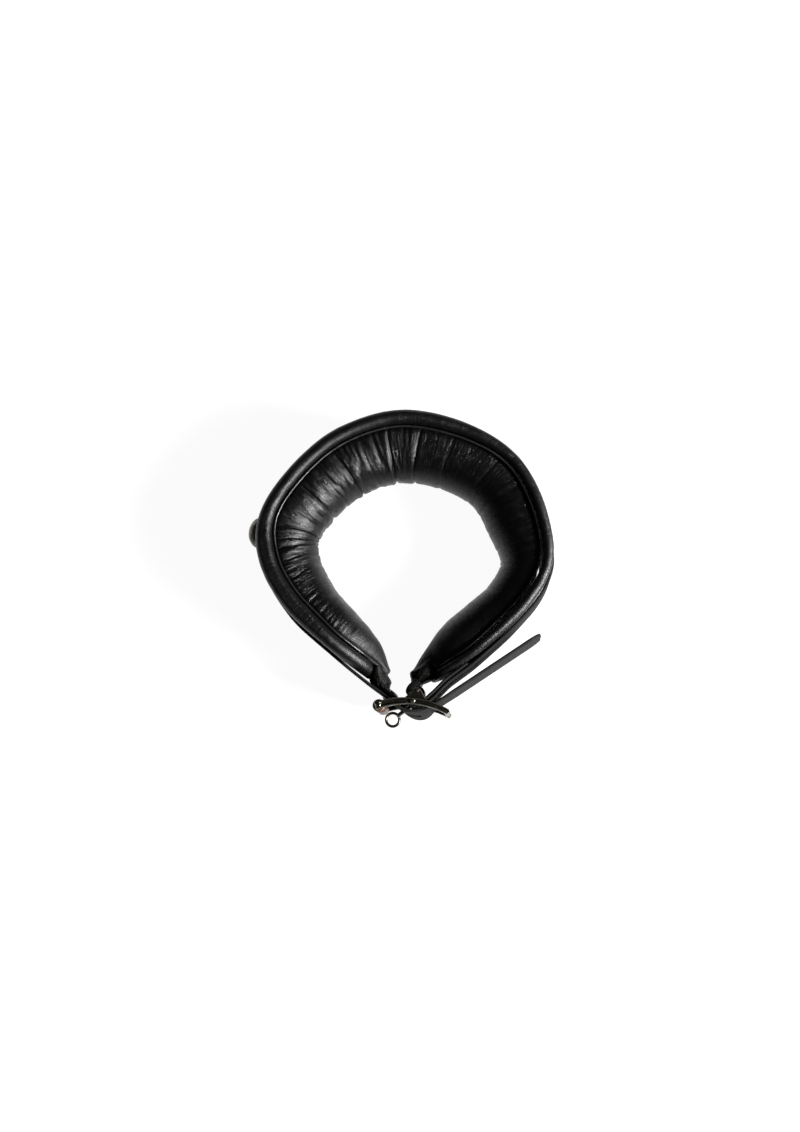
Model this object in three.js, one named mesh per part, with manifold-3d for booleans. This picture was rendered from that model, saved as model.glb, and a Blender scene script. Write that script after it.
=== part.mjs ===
// A small padded leather collar in the form of a horse collar: a stiff band with a rolled rim and a gathered
// pad inside it, held closed by a belt that runs through a curved roller buckle with a locking tongue.
// Millimetres, +Z up, the buckle towards -Y. The collar stands on its lower rim.
import * as THREE from "three";
import { mergeVertices } from "three/addons/utils/BufferGeometryUtils.js";
import Module from "manifold-3d";

const wasm = await Module();
wasm.setup();

// ---- Driving dimensions ----

const COLLAR_HEIGHT = 64;
const MID = COLLAR_HEIGHT / 2;

// The middle line of the band and of the rolled rim, seen from above: left end, round the back, right end.
const BAND_PLAN = [
  [-19.2, -68.4], [-44, -49.5], [-68, -27], [-82.5, -1.5], [-84.5, 24], [-71, 50], [-40, 79],
  [0, 92], [40, 84], [72, 63], [89, 30], [92.5, -2], [79.4, -26.8], [47.6, -55.6], [20.2, -71.2],
];

// Rolled rim: leather round a cord. The section is an octagon, flat where the collar stands on it.
const ROLL_HALF_WIDTH = 4.8;
const ROLL_SIDES = 8;
const ROLL_BORE = 3.1;
const CORD_RADIUS = 2.7;
const CORD_SIDES = 6;
const ROLL_LIFT = MID - ROLL_HALF_WIDTH; // from mid height to the roll's middle line
const END_ROUNDING = 38; // how far before each end the rim starts to turn down to mid height
const ROLL_MEETING_GAP = 0.3; // between the upper and the lower rim at each end

const BAND_HALF_THICKNESS = 1.2;
const BAND_TO_ROLL = 5.6;

// Piped seam between rim and pad.
const WELT_RADIUS = 0.8;
const WELT_OFFSET = ROLL_HALF_WIDTH + WELT_RADIUS + 0.4;
const WELT_END = 6;

// Pad: how far the lining reaches inwards from the band's middle line, at distances along the band.
const PAD_FACE = 5.5; // where the lining starts, inside the roll
const PAD_OVERRUN = 9; // how far the pad runs on past each end of the band
const PAD_REACH_LEFT = [
  [-9, 8.2], [-5, 12], [5, 18.4], [18, 22.4], [35, 25], [65, 28.5], [95, 30.6], [135, 31.8],
];
const PAD_REACH_BACK = 36.2;
const PAD_REACH_RIGHT = [
  [-9, 8.2], [-3, 12], [5, 16.5], [16, 22.6], [28, 25.6], [50, 26], [65, 25.2], [80, 25.6], [95, 27.2],
  [110, 28.8], [135, 33],
];
const PAD_FULLNESS = 0.85; // below 1 the pad is fuller than an ellipse
const PAD_END_HALF_HEIGHT = 8;
const PAD_SEAM_DROP = 1.8;
const LINING_THICKNESS = 1.2;
const FILLING_GAP = 0.7;
const FILLING_FACE = 4;

// Belt: one strap, from its fold-back end round the centre bar, round the collar and through the buckle.
const BELT_WIDTH = 36;
const BELT_THICKNESS = 2;
const BELT_ON_BAND = BAND_HALF_THICKNESS + 0.6 + BELT_THICKNESS / 2;
const TIP_LENGTH = 9;
const RIVET_SHANK = 1.1;
const RIVET_HEAD = 3.4;
const RIVET_HEAD_THICKNESS = 0.9;

// Buckle: two curved rails joined by a roller axle, a centre bar and an end bar.
const BAR = new THREE.Vector2(9.4, -88.9); // the centre bar, seen from above
const BUCKLE_ARC_RADIUS = 53.5;
const BUCKLE_TILT = THREE.MathUtils.degToRad(-5.3);
const BUCKLE_HALF_LENGTH = 21.7;
const RAIL_WIDTH = 4.4;
const RAIL_HEIGHT = 4;
const RAIL_AT_ROLLER = 1.12; // share of the rail's section at the roller
const RAIL_AT_END_BAR = 0.78;
const RAIL_LIFT = 22.2;
const BAR_RADIUS = 1.5;
const AXLE_RADIUS = 1.6;
const END_BAR_RADIUS = 1.7;
const ROLLER_RADIUS = 3.9;
const ROLLER_BORE = 2;
const ROLLER_LENGTH = 38.8;
const FOLD_RADIUS = BAR_RADIUS + 0.25 + BELT_THICKNESS / 2;
const SLOT_HALF_HEIGHT = 3.1;

// Locking tongue: pivots on the centre bar, passes through the belt's slot and ends in the lock eye.
const TONGUE_WIDTH = 5;
const TONGUE_THICKNESS = 2.4;
const HUB_RADIUS = 3.4;
const HUB_BORE = 1.8;
const EYE = new THREE.Vector2(-4.6, -99.2);
const EYE_RADIUS = 4.2;
const EYE_WIRE = 0.95;
const BLADE_END = new THREE.Vector2(-0.9, -96.4);

// Pin between two lugs of the buckle, where the right end tab is looped.
const TAB_PIN = new THREE.Vector2(12.4, -82.4);
const TAB_PIN_RADIUS = 0.9;
const TAB_PIN_HOLE = 1.2;
const LUG_THICKNESS = 2.4;
const LUG_RADIUS = 1.9;
const TAB_THICKNESS = 2.2;
const TAB_WIDTH = 20;

// Domed stud on the left side, screwed through belt and band.
const STUD_Y = 21.8;
const STUD_RADIUS = 10.4;
const STUD_HEIGHT = 9.2;
const BEZEL_RADIUS = 11.2;
const BEZEL_THICKNESS = 1.2;
const STUD_SCREW = 2;
const STUD_BORE = 2.4;

const CLEARANCE = 0.3;

// ---- Materials ----

const material = (color, roughness, metalness = 0) =>
  new THREE.MeshStandardMaterial({ color, roughness, metalness });
const BAND_LEATHER = material(0x171615, 0.5);
const RIM_LEATHER = material(0x1a1918, 0.42);
const LINING_LEATHER = material(0x1b1a19, 0.4);
const BELT_LEATHER = material(0x121110, 0.6);
const CORD = material(0xb8a988, 0.9);
const WOOL = material(0xcfc6b2, 0.95);
const NICKEL = material(0x8b887d, 0.34, 1);
const BRONZE = material(0x7d5f45, 0.36, 1);

// ---- Solids ----

const signedVolume = (positions, faces) => {
  const [a, b, c] = [new THREE.Vector3(), new THREE.Vector3(), new THREE.Vector3()];
  let six = 0;
  for (const [i, j, k] of faces) {
    a.fromArray(positions, 3 * i);
    b.fromArray(positions, 3 * j);
    c.fromArray(positions, 3 * k);
    six += a.dot(b.cross(c));
  }
  return six / 6;
};

// Faces of one closed cap, each turned counter-clockwise.
function capFaces(outline, hole) {
  const flat = [...outline, ...hole].map(([x, y]) => new THREE.Vector2(x, y));
  const contour = flat.slice(0, outline.length);
  const holes = hole.length ? [flat.slice(outline.length)] : [];
  return THREE.ShapeUtils.triangulateShape(contour, holes).map(([i, j, k]) => {
    const first = flat[j].clone().sub(flat[i]);
    const second = flat[k].clone().sub(flat[i]);
    return first.cross(second) > 0 ? [i, j, k] : [i, k, j];
  });
}

// A closed solid through stations {origin, across, up, outline, hole}: outline and hole are counter-clockwise
// lists of [across, up] pairs, with as many points at every station.
function sweep(stations) {
  const positions = [];
  const faces = [];
  const point = new THREE.Vector3();
  const count = stations[0].outline.length;
  const holeCount = stations[0].hole ? stations[0].hole.length : 0;
  const ring = count + holeCount;
  for (const { origin, across, up, outline, hole = [] } of stations) {
    for (const [a, b] of [...outline, ...hole]) {
      point.copy(origin).addScaledVector(across, a).addScaledVector(up, b);
      positions.push(point.x, point.y, point.z);
    }
  }
  const skin = (first, size, turned) => {
    for (let s = 0; s + 1 < stations.length; s++) {
      for (let j = 0; j < size; j++) {
        const here = s * ring + first + j;
        const beside = s * ring + first + ((j + 1) % size);
        const quad = [[here, beside, beside + ring], [here, beside + ring, here + ring]];
        faces.push(...(turned ? quad.map((face) => face.reverse()) : quad));
      }
    }
  };
  skin(0, count, false);
  if (holeCount) skin(count, holeCount, true);
  const last = (stations.length - 1) * ring;
  const start = stations[0];
  const end = stations[stations.length - 1];
  for (const [i, j, k] of capFaces(start.outline, start.hole ?? [])) faces.push([i, k, j]);
  for (const [i, j, k] of capFaces(end.outline, end.hole ?? [])) faces.push([i + last, j + last, k + last]);
  if (signedVolume(positions, faces) < 0) faces.forEach((face) => face.reverse());
  const geometry = new THREE.BufferGeometry();
  geometry.setAttribute("position", new THREE.Float32BufferAttribute(positions, 3));
  geometry.setIndex(faces.flat());
  return geometry;
}

function toSolid(geometry) {
  const bare = geometry.index ? geometry.toNonIndexed() : geometry.clone();
  bare.deleteAttribute("normal");
  bare.deleteAttribute("uv");
  const merged = mergeVertices(bare, 1e-3);
  const vertProperties = new Float32Array(merged.attributes.position.array);
  const triVerts = new Uint32Array(merged.index.array);
  return new wasm.Manifold(new wasm.Mesh({ numProp: 3, vertProperties, triVerts }));
}

function toGeometry(solid) {
  const { vertProperties, triVerts } = solid.getMesh();
  const geometry = new THREE.BufferGeometry();
  geometry.setAttribute("position", new THREE.Float32BufferAttribute(vertProperties, 3));
  geometry.setIndex([...triVerts]);
  return geometry;
}

const join = (...geometries) => toGeometry(geometries.map(toSolid).reduce((whole, next) => whole.add(next)));
const cut = (geometry, ...tools) =>
  toGeometry(tools.reduce((whole, tool) => whole.subtract(toSolid(tool)), toSolid(geometry)));

const collar = new THREE.Group();

function addPiece(name, geometry, pieceMaterial) {
  const mesh = new THREE.Mesh(geometry, pieceMaterial);
  mesh.name = name;
  geometry.computeVertexNormals();
  collar.add(mesh);
  return mesh;
}

const polygon = (sides, radius, firstAngle) =>
  Array.from({ length: sides }, (_, i) => {
    const angle = firstAngle + (2 * Math.PI * i) / sides;
    return [radius * Math.cos(angle), radius * Math.sin(angle)];
  });

const rectangle = (low, high, halfHeight) => [
  [low, -halfHeight], [high, -halfHeight], [high, halfHeight], [low, halfHeight],
];

// An upright cylinder at a place seen from above.
function upright(place, radius, low, high, sides) {
  const geometry = new THREE.CylinderGeometry(radius, radius, high - low, sides);
  geometry.rotateX(Math.PI / 2);
  geometry.translate(place.x, place.y, (low + high) / 2);
  return geometry;
}

// ---- Paths seen from above ----

const UP = new THREE.Vector3(0, 0, 1);

class PlanPath {
  constructor(points) {
    const places = points.map(([x, y]) => new THREE.Vector3(x, y, 0));
    this.curve = new THREE.CatmullRomCurve3(places, false, "centripetal");
    this.curve.arcLengthDivisions = 1200;
    this.length = this.curve.getLength();
  }

  // The place at a distance along the path, moved sideways by offset and up to a height. The path runs on
  // straight past both ends. Outward is to the left of the way it runs.
  frame(distance, offset = 0, height = MID) {
    const inside = THREE.MathUtils.clamp(distance, 0, this.length);
    const tangent = this.curve.getTangentAt(inside / this.length);
    const outward = new THREE.Vector3(-tangent.y, tangent.x, 0);
    const origin = this.curve.getPointAt(inside / this.length);
    origin.addScaledVector(tangent, distance - inside).addScaledVector(outward, offset);
    origin.z = height;
    return { origin, across: outward, up: UP, tangent };
  }

  // Distance of the first place where the path crosses a line of constant y.
  distanceAtY(y) {
    const step = 0.5;
    let distance = 0;
    while (this.frame(distance).origin.y < y) distance += step;
    return distance;
  }
}

const band = new PlanPath(BAND_PLAN);

const ellipseRise = (t) => Math.sqrt(Math.max(0, 1 - (1 - Math.min(t, 1)) ** 2));
const fromEnd = (distance) => Math.min(distance, band.length - distance);

// Distances along the band: close together where the rim turns down, even between.
function bandDistances(start, endSteps, middleSteps) {
  const distances = [];
  for (let i = 0; i < endSteps; i++) {
    const t = i / endSteps;
    distances.push(start + (END_ROUNDING - start) * (1 - Math.cos((t * Math.PI) / 2)));
  }
  const mirrored = distances.map((d) => band.length - d).reverse();
  for (let i = 0; i <= middleSteps; i++) {
    distances.push(END_ROUNDING + ((band.length - 2 * END_ROUNDING) * i) / middleSteps);
  }
  return [...distances, ...mirrored];
}

// Height of the rim's middle line over mid height.
const rimRise = (distance) => ROLL_LIFT * ellipseRise(fromEnd(distance) / END_ROUNDING);

// ---- Rolled rim, its cords and the welts ----

function rimStations(side, offset, startDistance, middleSteps, outline, hole) {
  const distances = bandDistances(startDistance, 6, middleSteps);
  const frames = distances.map((d) => {
    const rise = Math.max(rimRise(d), ROLL_MEETING_GAP / 2);
    return band.frame(d, offset, MID + side * rise);
  });
  return frames.map((frame, i) => {
    const before = frames[Math.max(i - 1, 0)].origin;
    const after = frames[Math.min(i + 1, frames.length - 1)].origin;
    const along = new THREE.Vector3().subVectors(after, before);
    if (i === 0 || i === frames.length - 1) along.set(0, 0, i === 0 ? side : -side);
    along.addScaledVector(frame.across, -along.dot(frame.across)).normalize();
    const up = new THREE.Vector3().crossVectors(along, frame.across);
    return { origin: frame.origin, across: frame.across, up, outline, hole };
  });
}

const halfCorner = Math.PI / ROLL_SIDES;
const rollOutline = polygon(ROLL_SIDES, ROLL_HALF_WIDTH / Math.cos(halfCorner), halfCorner);
const boreOutline = polygon(CORD_SIDES, ROLL_BORE, 0);
const cordOutline = polygon(CORD_SIDES, CORD_RADIUS, 0);
const weltOutline = polygon(4, WELT_RADIUS, 0);

for (const [name, side] of [["upper", 1], ["lower", -1]]) {
  addPiece(`rim_cover_${name}`, sweep(rimStations(side, 0, 0, 34, rollOutline, boreOutline)), RIM_LEATHER);
  addPiece(`rim_cord_${name}`, sweep(rimStations(side, 0, 0, 34, cordOutline)), CORD);
  addPiece(`welt_${name}`, sweep(rimStations(side, -WELT_OFFSET, WELT_END, 34, weltOutline)), RIM_LEATHER);
}

// ---- Band ----

function bandStations() {
  const rounding = END_ROUNDING - BAND_TO_ROLL;
  const firstAngle = 0.2;
  const steps = 5;
  const ends = [];
  for (let i = 0; i < steps; i++) {
    const angle = firstAngle + ((Math.PI / 2 - firstAngle) * i) / steps;
    ends.push(BAND_TO_ROLL + rounding * (1 - Math.cos(angle)));
  }
  const straight = band.length - 2 * END_ROUNDING;
  const middle = Array.from({ length: 33 }, (_, i) => END_ROUNDING + (straight * i) / 32);
  const distances = [...ends, ...middle, ...ends.map((d) => band.length - d).reverse()];
  return distances.map((d) => {
    const halfHeight = (ROLL_LIFT - BAND_TO_ROLL) * ellipseRise((fromEnd(d) - BAND_TO_ROLL) / rounding);
    return { ...band.frame(d), outline: rectangle(-BAND_HALF_THICKNESS, BAND_HALF_THICKNESS, halfHeight) };
  });
}

// A lathed piece whose axis runs outwards through the belt or band; heights are measured outwards.
function lathedAt(frame, profile, sides) {
  const geometry = new THREE.LatheGeometry(profile.map(([r, h]) => new THREE.Vector2(r, h)), sides);
  const lathedAxis = new THREE.Vector3(0, 1, 0);
  geometry.applyQuaternion(new THREE.Quaternion().setFromUnitVectors(lathedAxis, frame.across));
  geometry.translate(frame.origin.x, frame.origin.y, frame.origin.z);
  return geometry;
}

// ---- Pad: lining and filling ----

function reachAt(distance) {
  const fromLeft = distance <= band.length / 2;
  const table = fromLeft ? PAD_REACH_LEFT : PAD_REACH_RIGHT;
  const along = fromLeft ? distance : band.length - distance;
  const stops = [...table, [band.length / 2, PAD_REACH_BACK]];
  const next = stops.findIndex(([d]) => d >= along);
  if (next <= 0) return stops[0][1];
  const [d0, r0] = stops[next - 1];
  const [d1, r1] = stops[next];
  return THREE.MathUtils.lerp(r0, r1, (along - d0) / (d1 - d0));
}

function padHalfHeight(distance) {
  const d = fromEnd(distance);
  if (d > WELT_END) return rimRise(distance) - PAD_SEAM_DROP;
  const atWelt = ROLL_LIFT * ellipseRise(WELT_END / END_ROUNDING) - PAD_SEAM_DROP;
  return THREE.MathUtils.lerp(PAD_END_HALF_HEIGHT, atWelt, (d + PAD_OVERRUN) / (WELT_END + PAD_OVERRUN));
}

// The pad's inner side from the top seam to the bottom seam, at a depth under the lining's surface.
function padArc(distance, depth, points) {
  const bulge = reachAt(distance) - PAD_FACE - depth;
  const halfHeight = padHalfHeight(distance) - depth;
  return Array.from({ length: points }, (_, i) => {
    const angle = Math.PI / 2 - (Math.PI * i) / (points - 1);
    const swell = bulge * Math.max(Math.cos(angle), 0) ** PAD_FULLNESS;
    return [-PAD_FACE - swell, halfHeight * Math.sin(angle)];
  });
}

function liningStations() {
  const distances = bandDistances(-PAD_OVERRUN, 7, 32);
  return distances.map((d) => {
    const outline = [...padArc(d, 0, 9), ...padArc(d, LINING_THICKNESS, 9).reverse()];
    return { ...band.frame(d), outline };
  });
}

function fillingStations() {
  const distances = bandDistances(WELT_END + 3, 3, 28);
  return distances.map((d) => {
    const arc = padArc(d, LINING_THICKNESS + FILLING_GAP, 9);
    const back = Math.min(rimRise(d) - BAND_TO_ROLL - CLEARANCE, padHalfHeight(d) - LINING_THICKNESS - 1);
    const outline = [[-FILLING_FACE, back], ...arc, [-FILLING_FACE, -back]];
    return { ...band.frame(d), outline };
  });
}

addPiece("pad_lining", sweep(liningStations()), LINING_LEATHER);
addPiece("pad_filling", sweep(fillingStations()), WOOL);

// Gathered ends of the lining: a puckered knob past each end of the pad, through stations [x, y, half width,
// half height].
function gather(shape) {
  return sweep(shape.map(([x, y, halfWidth, halfHeight]) => ({
    origin: new THREE.Vector3(x, y, MID),
    across: new THREE.Vector3(-1, 0, 0),
    up: UP,
    outline: polygon(8, 1, 0).map(([a, b]) => [a * halfWidth, b * halfHeight]),
  })));
}

const LEFT_KNOB = [
  [-9.6, -70.9, 1.6, 7], [-10.6, -72.4, 3.4, 8.6], [-11.4, -74.6, 5.8, 9.4], [-10.9, -76.8, 4.8, 8.6],
  [-10, -78.1, 2, 5.5], [-10.6, -78.9, 0.9, 3],
];
const RIGHT_KNOB = [
  [11.6, -71.4, 1.6, 7], [11.2, -72.8, 3.5, 8.6], [10.6, -74.8, 4.6, 9.4], [10, -76.4, 3.8, 8.2],
  [9.6, -77.4, 2, 5],
];
addPiece("end_gather_left", gather(LEFT_KNOB), LINING_LEATHER);
addPiece("end_gather_right", gather(RIGHT_KNOB), LINING_LEATHER);

// ---- Belt ----

const noLean = () => 0;

// A strap of constant thickness through places seen from above, stepped finely where the places are close.
// Its top leans to the left of the way it runs by leanAt for each unit of height.
function strapStations(points, thickness, halfHeightAt, leanAt = noLean) {
  const path = new PlanPath(points);
  const distances = [0];
  const longestStep = 13;
  const spans = points.length - 1;
  for (let i = 0; i < spans; i++) {
    const from = lengthAtParameter(path, i / spans);
    const span = lengthAtParameter(path, (i + 1) / spans) - from;
    const steps = Math.max(2, Math.ceil(span / longestStep));
    for (let k = 1; k <= steps; k++) distances.push(from + (span * k) / steps);
  }
  return distances.map((d) => {
    const frame = path.frame(d);
    const up = UP.clone().addScaledVector(frame.across, leanAt(d, path.length));
    return { ...frame, up, outline: rectangle(-thickness / 2, thickness / 2, halfHeightAt(d, path.length)) };
  });
}

// Arc length of a path up to one of its curve parameters.
function lengthAtParameter(path, t) {
  const lengths = path.curve.getLengths(path.curve.arcLengthDivisions);
  return lengths[Math.round(t * path.curve.arcLengthDivisions)];
}

const onBand = (distance, offset) => {
  const { origin } = band.frame(distance, offset);
  return [origin.x, origin.y];
};

// Fold-back end, round the centre bar, up the strand to the right leg; the band carries it round the back.
const foldPlace = (angle) => [BAR.x + FOLD_RADIUS * Math.cos(angle), BAR.y + FOLD_RADIUS * Math.sin(angle)];
const FOLD = [0.5, 0.75, 1, 1.25, 1.5].map((turn) => foldPlace(turn * Math.PI));
const FOLD_BACK = [
  [43.5, -64.9], [35.5, -70.7], [29, -75.7], [23.4, -81.3], [20.2, -84.2], [17, -86.7], [13.2, -87.1],
];
const STRAND = [
  [13.2, -90.6], [17.6, -89.4], [21.9, -86.4], [25.2, -82.9], [30.7, -77.4], [36.9, -72.7], [45.8, -66.2],
];
const RIGHT_LEG = [
  [58.3, -55.5], [69.9, -45], [79.6, -34.8], [87.2, -26], [93.4, -15.9], [97.3, -4], [97.2, 7], [94.6, 20],
];
const ROUND_THE_BAND = Array.from({ length: 17 }, (_, i) => {
  const share = 0.73 - 0.03 * i; // of the band's length, from the right side round the back to the left side
  return onBand(share * band.length, BELT_ON_BAND);
});
const LEFT_LEG = [
  onBand(0.19 * band.length, 3.8), onBand(0.12 * band.length, 5), onBand(0.06 * band.length, 5.7),
];
const THROUGH_BUCKLE = [
  [-19.9, -76.6], [-11.3, -82.9], [-4.5, -88.1], [0, -91.7], [5.6, -95], [10.6, -96], [15.4, -95.3],
  [20.6, -91.9], [25.5, -88.8],
];
const TAIL = [[36, -82], [89.5, -47]];
const BELT_PLAN = [
  ...FOLD_BACK, ...FOLD, ...STRAND, ...RIGHT_LEG, ...ROUND_THE_BAND, ...LEFT_LEG, ...THROUGH_BUCKLE, ...TAIL,
];

function beltHalfHeight(distance, length) {
  const toTip = length - distance;
  const squareTip = 0.45;
  const rounding = squareTip + (1 - squareTip) * ellipseRise(toTip / TIP_LENGTH);
  return (BELT_WIDTH / 2) * (toTip < TIP_LENGTH ? rounding : 1);
}

// The belt leans where it bulges out under the buckle: its lower edge further out, its upper edge further in.
// The free tail leans the same way, but less. The bulge's start and end are measured from the belt's tip.
const BULGE_START = 104;
const BULGE_END = 77;
const BULGE_LEAN = 0.11;
const TAIL_LEAN = 0.03;

function beltLean(distance, length) {
  const along = (BULGE_START - (length - distance)) / (BULGE_START - BULGE_END);
  const bulge = along > 0 && along < 1 ? Math.sin(Math.PI * along) ** 2 : 0;
  const tail = THREE.MathUtils.smoothstep(along, 0.5, 1.5);
  return BULGE_LEAN * bulge + TAIL_LEAN * tail * (1 - bulge);
}

const beltPath = new PlanPath(BELT_PLAN);

// The belt's frame where it passes closest to a place seen from above, at a height, pointing outwards.
function beltFrame([x, y], height) {
  const place = new THREE.Vector3(x, y, height);
  let nearest = beltPath.frame(0, 0, height);
  for (let distance = 0; distance < beltPath.length; distance += 0.25) {
    const frame = beltPath.frame(distance, 0, height);
    if (frame.origin.distanceTo(place) < nearest.origin.distanceTo(place)) nearest = frame;
  }
  return { origin: nearest.origin, across: nearest.across.clone().negate() };
}

const rivetProfile = (low, high) => [
  [0, low - RIVET_HEAD_THICKNESS], [RIVET_HEAD * 0.8, low - RIVET_HEAD_THICKNESS], [RIVET_HEAD, low],
  [RIVET_SHANK, low], [RIVET_SHANK, high], [RIVET_HEAD, high],
  [RIVET_HEAD * 0.8, high + RIVET_HEAD_THICKNESS], [0, high + RIVET_HEAD_THICKNESS],
];
const holeTool = (frame, radius, low, high) =>
  lathedAt(frame, [[0, low], [radius, low], [radius, high], [0, high]], 8);

const rivets = [];
const TAB_RIVET = [-7.4, -86];

// One rivet per height; low and high are the faces it grips, measured from the frame's origin.
function addRivets(name, frameAt, low, high, rise) {
  for (const [end, side] of [["upper", 1], ["lower", -1]]) {
    const frame = frameAt(MID + side * rise);
    const grip = [low - CLEARANCE - 0.1, high + CLEARANCE];
    addPiece(`${name}_${end}`, lathedAt(frame, rivetProfile(...grip), 8), NICKEL);
    rivets.push(holeTool(frame, RIVET_SHANK + CLEARANCE, low - 3, high + 3));
  }
}

const halfBelt = BELT_THICKNESS / 2;
const backDistance = band.length / 2;
const studFrame = band.frame(band.distanceAtY(STUD_Y), 0);

const backFrame = (z) => band.frame(backDistance, 0, z);
addRivets("rivet_back", backFrame, -BAND_HALF_THICKNESS, BELT_ON_BAND + halfBelt, 9);

// ---- End tabs ----

const LEFT_TAB_THICKNESS = 3.2;
const LEFT_TAB = [[-9.9, -79.9], [-5.6, -83.3], [0.4, -88]];
const RIGHT_TAB = [
  [9.4, -79], [6.2, -79.5], [4.8, -81.4], [6.2, -83.2], [9.2, -83.7], [12.4, -84.6], [14.6, -83.7],
  [15, -81.8], [13.9, -80.1], [12, -79.7],
];
const tabHalfHeight = () => TAB_WIDTH / 2;
const leftTab = sweep(strapStations(LEFT_TAB, LEFT_TAB_THICKNESS, tabHalfHeight));
const tabFace = -halfBelt - CLEARANCE - LEFT_TAB_THICKNESS;
addRivets("rivet_tab", (z) => beltFrame(TAB_RIVET, z), tabFace, halfBelt, 5.5);
addPiece("end_tab_left", cut(leftTab, ...rivets), BAND_LEATHER);
addPiece("end_tab_right", sweep(strapStations(RIGHT_TAB, TAB_THICKNESS, tabHalfHeight)), BAND_LEATHER);

// ---- Stud ----

const beltFace = BELT_ON_BAND + halfBelt;
const studBase = beltFace + CLEARANCE;
const domeBase = studBase + BEZEL_THICKNESS + CLEARANCE;
const domeProfile = [
  [0, domeBase + 4.5], [STUD_BORE, domeBase + 4.5], [STUD_BORE, domeBase], [STUD_RADIUS, domeBase],
];
for (let i = 1; i <= 5; i++) {
  const angle = (Math.PI / 2) * (i / 5);
  domeProfile.push([STUD_RADIUS * Math.cos(angle), domeBase + 0.6 + (STUD_HEIGHT - 0.6) * Math.sin(angle)]);
}
domeProfile[domeProfile.length - 1][0] = 0;
const bezelProfile = [
  [STUD_BORE, studBase], [BEZEL_RADIUS, studBase], [BEZEL_RADIUS - 0.5, studBase + BEZEL_THICKNESS],
  [STUD_BORE, studBase + BEZEL_THICKNESS], [STUD_BORE, studBase],
];
const screwHeadLow = -FILLING_FACE + CLEARANCE;
const screwHeadHigh = screwHeadLow + 1.5;
const screwProfile = [
  [0, screwHeadLow], [4.2, screwHeadLow], [4.6, screwHeadHigh], [STUD_SCREW, screwHeadHigh],
  [STUD_SCREW, domeBase + 4], [0, domeBase + 4],
];
addPiece("stud_dome", lathedAt(studFrame, domeProfile, 20), NICKEL);
addPiece("stud_bezel", lathedAt(studFrame, bezelProfile, 20), NICKEL);
addPiece("stud_screw", lathedAt(studFrame, screwProfile, 10), NICKEL);
const studHole = holeTool(studFrame, STUD_BORE, -4, domeBase);

addPiece("outer_band", cut(sweep(bandStations()), ...rivets, studHole), BAND_LEATHER);

// The tongue's slot runs through the bulge of the belt and through the fold round the centre bar.
const slotLow = new THREE.Vector2(-2.2, -99);
const slotHigh = new THREE.Vector2(13.4, -84);
const slot = new THREE.BoxGeometry(slotHigh.x - slotLow.x, slotHigh.y - slotLow.y, 2 * SLOT_HALF_HEIGHT);
slot.translate((slotLow.x + slotHigh.x) / 2, (slotLow.y + slotHigh.y) / 2, MID);
const belt = sweep(strapStations(BELT_PLAN, BELT_THICKNESS, beltHalfHeight, beltLean));
addPiece("belt_strap", cut(belt, slot, ...rivets, studHole), BELT_LEATHER);

// ---- Buckle ----

// A place on the buckle's arc: along is measured from the centre bar, towards +X.
function onBuckle(along, offset = 0) {
  const angle = along / BUCKLE_ARC_RADIUS;
  const radius = BUCKLE_ARC_RADIUS + offset;
  const local = new THREE.Vector2(radius * Math.sin(angle), radius * Math.cos(angle));
  local.y -= BUCKLE_ARC_RADIUS;
  return local.rotateAround(new THREE.Vector2(0, 0), BUCKLE_TILT).add(BAR);
}

function rail(side) {
  const steps = 14;
  const stations = [];
  for (let i = 0; i <= steps; i++) {
    const along = -BUCKLE_HALF_LENGTH - 1.2 + ((2 * BUCKLE_HALF_LENGTH + 2.4) * i) / steps;
    const place = onBuckle(along);
    const outer = onBuckle(along, 1);
    const across = new THREE.Vector3(outer.x - place.x, outer.y - place.y, 0).normalize();
    const slim = THREE.MathUtils.lerp(RAIL_AT_ROLLER, RAIL_AT_END_BAR, i / steps);
    const outline = polygon(8, 1 / Math.cos(Math.PI / 8), Math.PI / 8).map(([a, b]) => [
      (a * RAIL_WIDTH * slim) / 2, (b * RAIL_HEIGHT * slim) / 2,
    ]);
    const origin = new THREE.Vector3(place.x, place.y, MID + side * RAIL_LIFT);
    stations.push({ origin, across, up: UP, outline });
  }
  return sweep(stations);
}

function lug(side) {
  const shape = new THREE.Shape();
  const left = onBuckle(-7, 0.6);
  const right = onBuckle(9.5, 0.6);
  shape.moveTo(left.x, left.y);
  shape.lineTo(right.x, right.y);
  shape.absarc(TAB_PIN.x, TAB_PIN.y, LUG_RADIUS, 0.64, Math.PI - 0.64, false);
  shape.closePath();
  const hole = new THREE.Path();
  hole.absarc(TAB_PIN.x, TAB_PIN.y, TAB_PIN_HOLE, 0, 2 * Math.PI, true);
  shape.holes.push(hole);
  const settings = { depth: LUG_THICKNESS, bevelEnabled: false, curveSegments: 6 };
  const plate = new THREE.ExtrudeGeometry(shape, settings);
  plate.translate(0, 0, MID + side * RAIL_LIFT - LUG_THICKNESS / 2);
  return plate;
}

const rollerPlace = onBuckle(-BUCKLE_HALF_LENGTH);
const endBarPlace = onBuckle(BUCKLE_HALF_LENGTH);
const railTop = MID + RAIL_LIFT;
const railBottom = MID - RAIL_LIFT;
const frameBody = join(
  rail(1), rail(-1), lug(1), lug(-1),
  upright(rollerPlace, AXLE_RADIUS, railBottom, railTop, 10),
  upright(endBarPlace, END_BAR_RADIUS, railBottom, railTop, 10),
);
const barHole = upright(BAR, BAR_RADIUS + CLEARANCE, 0, COLLAR_HEIGHT, 10);
addPiece("buckle_frame", cut(frameBody, barHole), NICKEL);

const halfBar = RAIL_LIFT + RAIL_HEIGHT / 2;
addPiece("centre_bar", upright(BAR, BAR_RADIUS, MID - halfBar, MID + halfBar, 10), NICKEL);

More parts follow.
